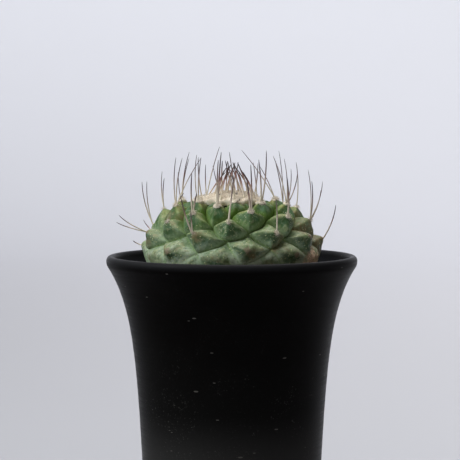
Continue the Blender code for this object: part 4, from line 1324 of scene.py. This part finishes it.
def all_spines():
    """Every spine as (tubercle, root, way out, reach). One that would touch another is drawn again."""
    made, taken = [], []
    for index, tips in SPRAYS.items():
        for number, (right, up) in enumerate(sorted(tips)):
            spine = seen_spine(index, number - (len(tips) - 1) / 2, right, up)
            made.append((index, *spine))
            taken += points_along(spine_path(*spine, CHECK_STEPS))
    for index in range(LAST_SPINY, FIRST_SPINY - 1, -1):
        if index in SPRAYS:
            continue
        draw = random.Random(SPINE_SEED * 1000 + index)
        for _ in range(spine_count(index, draw)):
            for _ in range(SPINE_TRIES):
                spine = drawn_spine(index, draw)
                path = points_along(spine_path(*spine, CHECK_STEPS))
                if all((a - b).length > SPINE_CLEAR for a in path for b in taken):
                    made.append((index, *spine))
                    taken += path
                    break
    return made


def make_spines():
    paths, radii, tones, outer = [], [], [], []
    draw = random.Random(SPINE_SEED)
    for index, root, out, reach in all_spines():
        path = [tuple(point) for point in spine_path(root, out, reach, SPINE_STEPS)]
        share = np.linspace(0, 1, SPINE_STEPS + 1)
        on_body = index >= FIRST_ON_BODY
        slim = 1 - BACK_SLIMMER * float(eased(root.y, *BACK_FADE)) if on_body else 1
        thick = SPINE_TIP + (1 - SPINE_TIP) * (1 - share) ** SPINE_TAPER
        thick = SPINE_BASE * slim * draw.uniform(*SPINE_THICKNESS) * thick
        paths.append(path)
        radii.append([thick[0] * SPINE_FOOT[0], thick[0] * SPINE_FOOT[1], *thick[1:]])
        tones.append(draw.uniform(0, 1) if on_body else draw.uniform(0.5, 1.0))
        outer.append(float(on_body))
    paths, radii = np.array(paths), np.array(radii)
    share = np.concatenate([[0, COLLAR_SHARE], np.linspace(0, 1, SPINE_STEPS + 1)[1:]])
    marks = {
        "along": share * np.ones((len(paths), 1)),
        "tone": np.array(tones)[:, None] + 0 * share,
        "outer": np.array(outer)[:, None] + 0 * share,
    }
    return tubes("spines", paths, radii, SPINE_SIDES, marks)


def ramped(value, colours, interpolation="LINEAR"):
    """The colour at this value, from a ramp of (position, colour)."""
    ramp = place(value.id_data, "ValToRGB", {0: value})
    ramp.color_ramp.interpolation = interpolation
    stops = ramp.color_ramp.elements
    for stop, (position, colour) in zip(stops, (colours[0], colours[-1])):
        stop.position, stop.color = position, (*colour, 1)
    for position, colour in colours[1:-1]:
        stops.new(position).color = (*colour, 1)
    return ramp.outputs["Color"]


def make_spine_horn():
    horn, tree, shader, where = finish_named("spine_horn")
    grain = grained(where, 3000, 500)
    along, tone, outer = (attribute(tree, name) for name in ("along", "tone", "outer"))
    horn_colours = [
        (0.0, (0.88, 0.79, 0.62)),
        (0.3, (0.80, 0.68, 0.56)),
        (0.5, (0.62, 0.475, 0.40)),
        (0.66, (0.35, 0.155, 0.13)),
        (0.8, (0.10, 0.035, 0.036)),
        (1.0, (0.02, 0.015, 0.018)),
    ]
    colour = ramped(plus(along, spread(tone, 0.0, 1.0, -0.12, 0.12)), horn_colours)
    weathered = times(outer, spread(along, 0.4, 0.7, 0.0, 0.65))
    colour = mixed(weathered, colour, (0.15, 0.13, 0.15))
    colour = mixed(times(grain["Patches"], 0.25), colour, (0.16, 0.11, 0.07))
    feed(shader, {"Base Color": colour, "Roughness": spread(grain["Height"], 0.3, 0.7, 0.4, 0.6)})
    bumped(shader, (grain["Height"], 0.04 * MM, 0.6))
    return horn


spines = make_spines()
spines.data.materials.append(make_spine_horn())
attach(spines, "root")
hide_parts("crown")


# Soil. Mineral grit of pumice, lava and baked clay fills the pot to below the rim, with a layer of
# coarser grains on top round the plant, which keeps its neck dry.
GRIT_GAP = 0.3 * MM
FILL_DROP = 0.4 * MM
FILL_RINGS = 30
HOLE_RINGS = 40
FILL_SEGMENTS = 84
NET_RADIUS = 11 * MM
NET_THICKNESS = 1 * MM
ROOT_GAP = 0.5 * MM
PEBBLES = 60
PEBBLE_RADII = (1.5 * MM, 2.4 * MM)
PEBBLE_SEED = 5
PEBBLE_ROOM = 0.92
# Draws that go to a pebble's shape in the solid. They are passed over here, so its place is the same
PEBBLE_DRAWS = 44
GRAINS = 1500
GRAIN_RADII = (0.5 * MM, 1.15 * MM)
# How far small grains reach in under the plant's edge, how deep they lie, and their levels there in mm
GRAIN_UNDER = 0.6 * MM
GRAIN_SUNK = 0.5 * MM
GRAIN_LEVELS = (-0.2, 0.9)
GRAIN_TURN = 0.5
STONE_ROUGHNESS = 0.32
STONE_LUMP_SIZE = 0.9
STONE_STRETCH = (0.75, 1.05)
STONE_SHARP = math.radians(35)


def soil_outline():
    """The fill's section: its outer wall, the hole for the root, and room for the net."""
    wall = []
    for height in heights_between(FLOOR_TOP + FLOOR_ROUND, SOIL_TOP - FILL_DROP, FILL_RINGS):
        wall.append((outer_radius(height) - WALL - GRIT_GAP, height))
    floor = FLOOR_TOP + GRIT_GAP
    over_net = FLOOR_TOP + 2 * GRIT_GAP + NET_THICKNESS
    start = MERIDIAN_LENGTHS[np.argmax(MERIDIAN_POINTS[:, 1] < SOIL_TOP)]
    hole = []
    for distance in np.linspace(start, MERIDIAN_LENGTHS[-1], HOLE_RINGS):
        spot, _ = on_plant(distance, math.pi / 2, -ROOT_GAP)
        hole.append((float(spot[0]), float(spot[2])))
    hole[0] = (hole[0][0], SOIL_TOP - FILL_DROP)
    hole[-1] = (0, hole[-1][1])
    under = [(0, over_net), (NET_RADIUS + GRIT_GAP, over_net), (NET_RADIUS + GRIT_GAP, floor)]
    corner = [(wall[0][0] - FLOOR_ROUND, floor)]
    return under + corner + wall + hole


def ball_of(fineness):
    """The points and faces of a ball of radius 1."""
    bm = bmesh.new()
    bmesh.ops.create_icosphere(bm, subdivisions=fineness, radius=1)
    points = np.array([tuple(vert.co) for vert in bm.verts])
    faces = np.array([[vert.index for vert in face.verts] for face in bm.faces])
    bm.free()
    return points, faces


def grain_places():
    """(middle, radius) of the pebbles and of the smaller grains that fill in between them."""
    draw = random.Random(PEBBLE_SEED)
    skin = float(np.interp(arc_of(AT_SOIL), MERIDIAN_LENGTHS, MERIDIAN_POINTS[:, 0]))
    wall = outer_radius(SOIL_TOP) - WALL
    places = []
    for number in range(PEBBLES):
        radius = draw.uniform(*PEBBLE_RADII)
        inner, outer = skin + ROOT_GAP + radius + GRIT_GAP, wall - 2 * GRIT_GAP - radius
        out = math.sqrt(draw.uniform(inner**2, outer**2))
        angle = number * GOLDEN_ANGLE
        spot = (out * math.cos(angle), out * math.sin(angle), SOIL_TOP)
        places.append((*spot, radius * PEBBLE_ROOM))
        for _ in range(PEBBLE_DRAWS):
            draw.random()
    for number in range(GRAINS):
        radius = draw.uniform(*GRAIN_RADII)
        inner, outer = skin - GRAIN_UNDER + radius, wall - GRIT_GAP - radius
        out = math.sqrt(draw.uniform(inner**2, outer**2))
        angle = number * GOLDEN_ANGLE + draw.uniform(-GRAIN_TURN, GRAIN_TURN)
        height = SOIL_TOP - GRAIN_SUNK + draw.uniform(*GRAIN_LEVELS) * MM
        places.append((out * math.cos(angle), out * math.sin(angle), height, radius))
    return places


def make_grit():
    """All the grains as one mesh, each a rough stone of its own turn and tone."""
    ball, ball_faces = ball_of(2)
    draw = np.random.default_rng(PEBBLE_SEED)
    points, faces, tones = [], [], []
    for number, (x, y, z, radius) in enumerate(grain_places()):
        rough = 1 + STONE_ROUGHNESS * sampled(ball, STONE_LUMP_SIZE, number)
        stone = ball * rough[:, None] * draw.uniform(*STONE_STRETCH, 3)
        turn, _ = np.linalg.qr(draw.normal(size=(3, 3)))
        points.append(stone @ turn * radius + [x, y, z])
        faces.append(ball_faces + number * len(ball))
        tones.append(np.full(len(ball), draw.uniform(0, 1)))
    grit = mesh_object("soil_grains", np.concatenate(points), np.concatenate(faces).tolist())
    grit.data.set_sharp_from_angle(angle=STONE_SHARP)
    return marked_with({"tone": np.concatenate(tones)}, grit)


def make_grit_soil():
    stone, tree, shader, where = finish_named("grit_soil")
    grain = grained(where, 3500, 700)
    stone_colours = [
        (0.0, (0.36, 0.33, 0.28)),
        (0.35, (0.24, 0.16, 0.10)),
        (0.55, (0.19, 0.18, 0.17)),
        (0.7, (0.45, 0.41, 0.34)),
        (0.85, (0.05, 0.045, 0.045)),
    ]
    colour = ramped(attribute(tree, "tone"), stone_colours, "CONSTANT")
    colour = mixed(times(grain["Patches"], 0.45), colour, (0.10, 0.08, 0.06))
    feed(shader, {"Base Color": colour, "Roughness": spread(grain["Height"], 0.3, 0.7, 0.85, 0.98)})
    bumped(shader, (grain["Height"], 0.18 * MM, 1.0))
    return stone


GRIT_SOIL = make_grit_soil()
fill = turned("soil_fill", soil_outline(), FILL_SEGMENTS, False)
grit = make_grit()
for piece in (fill, grit):
    piece.data.materials.append(GRIT_SOIL)
    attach(piece, "root")
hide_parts("soil")
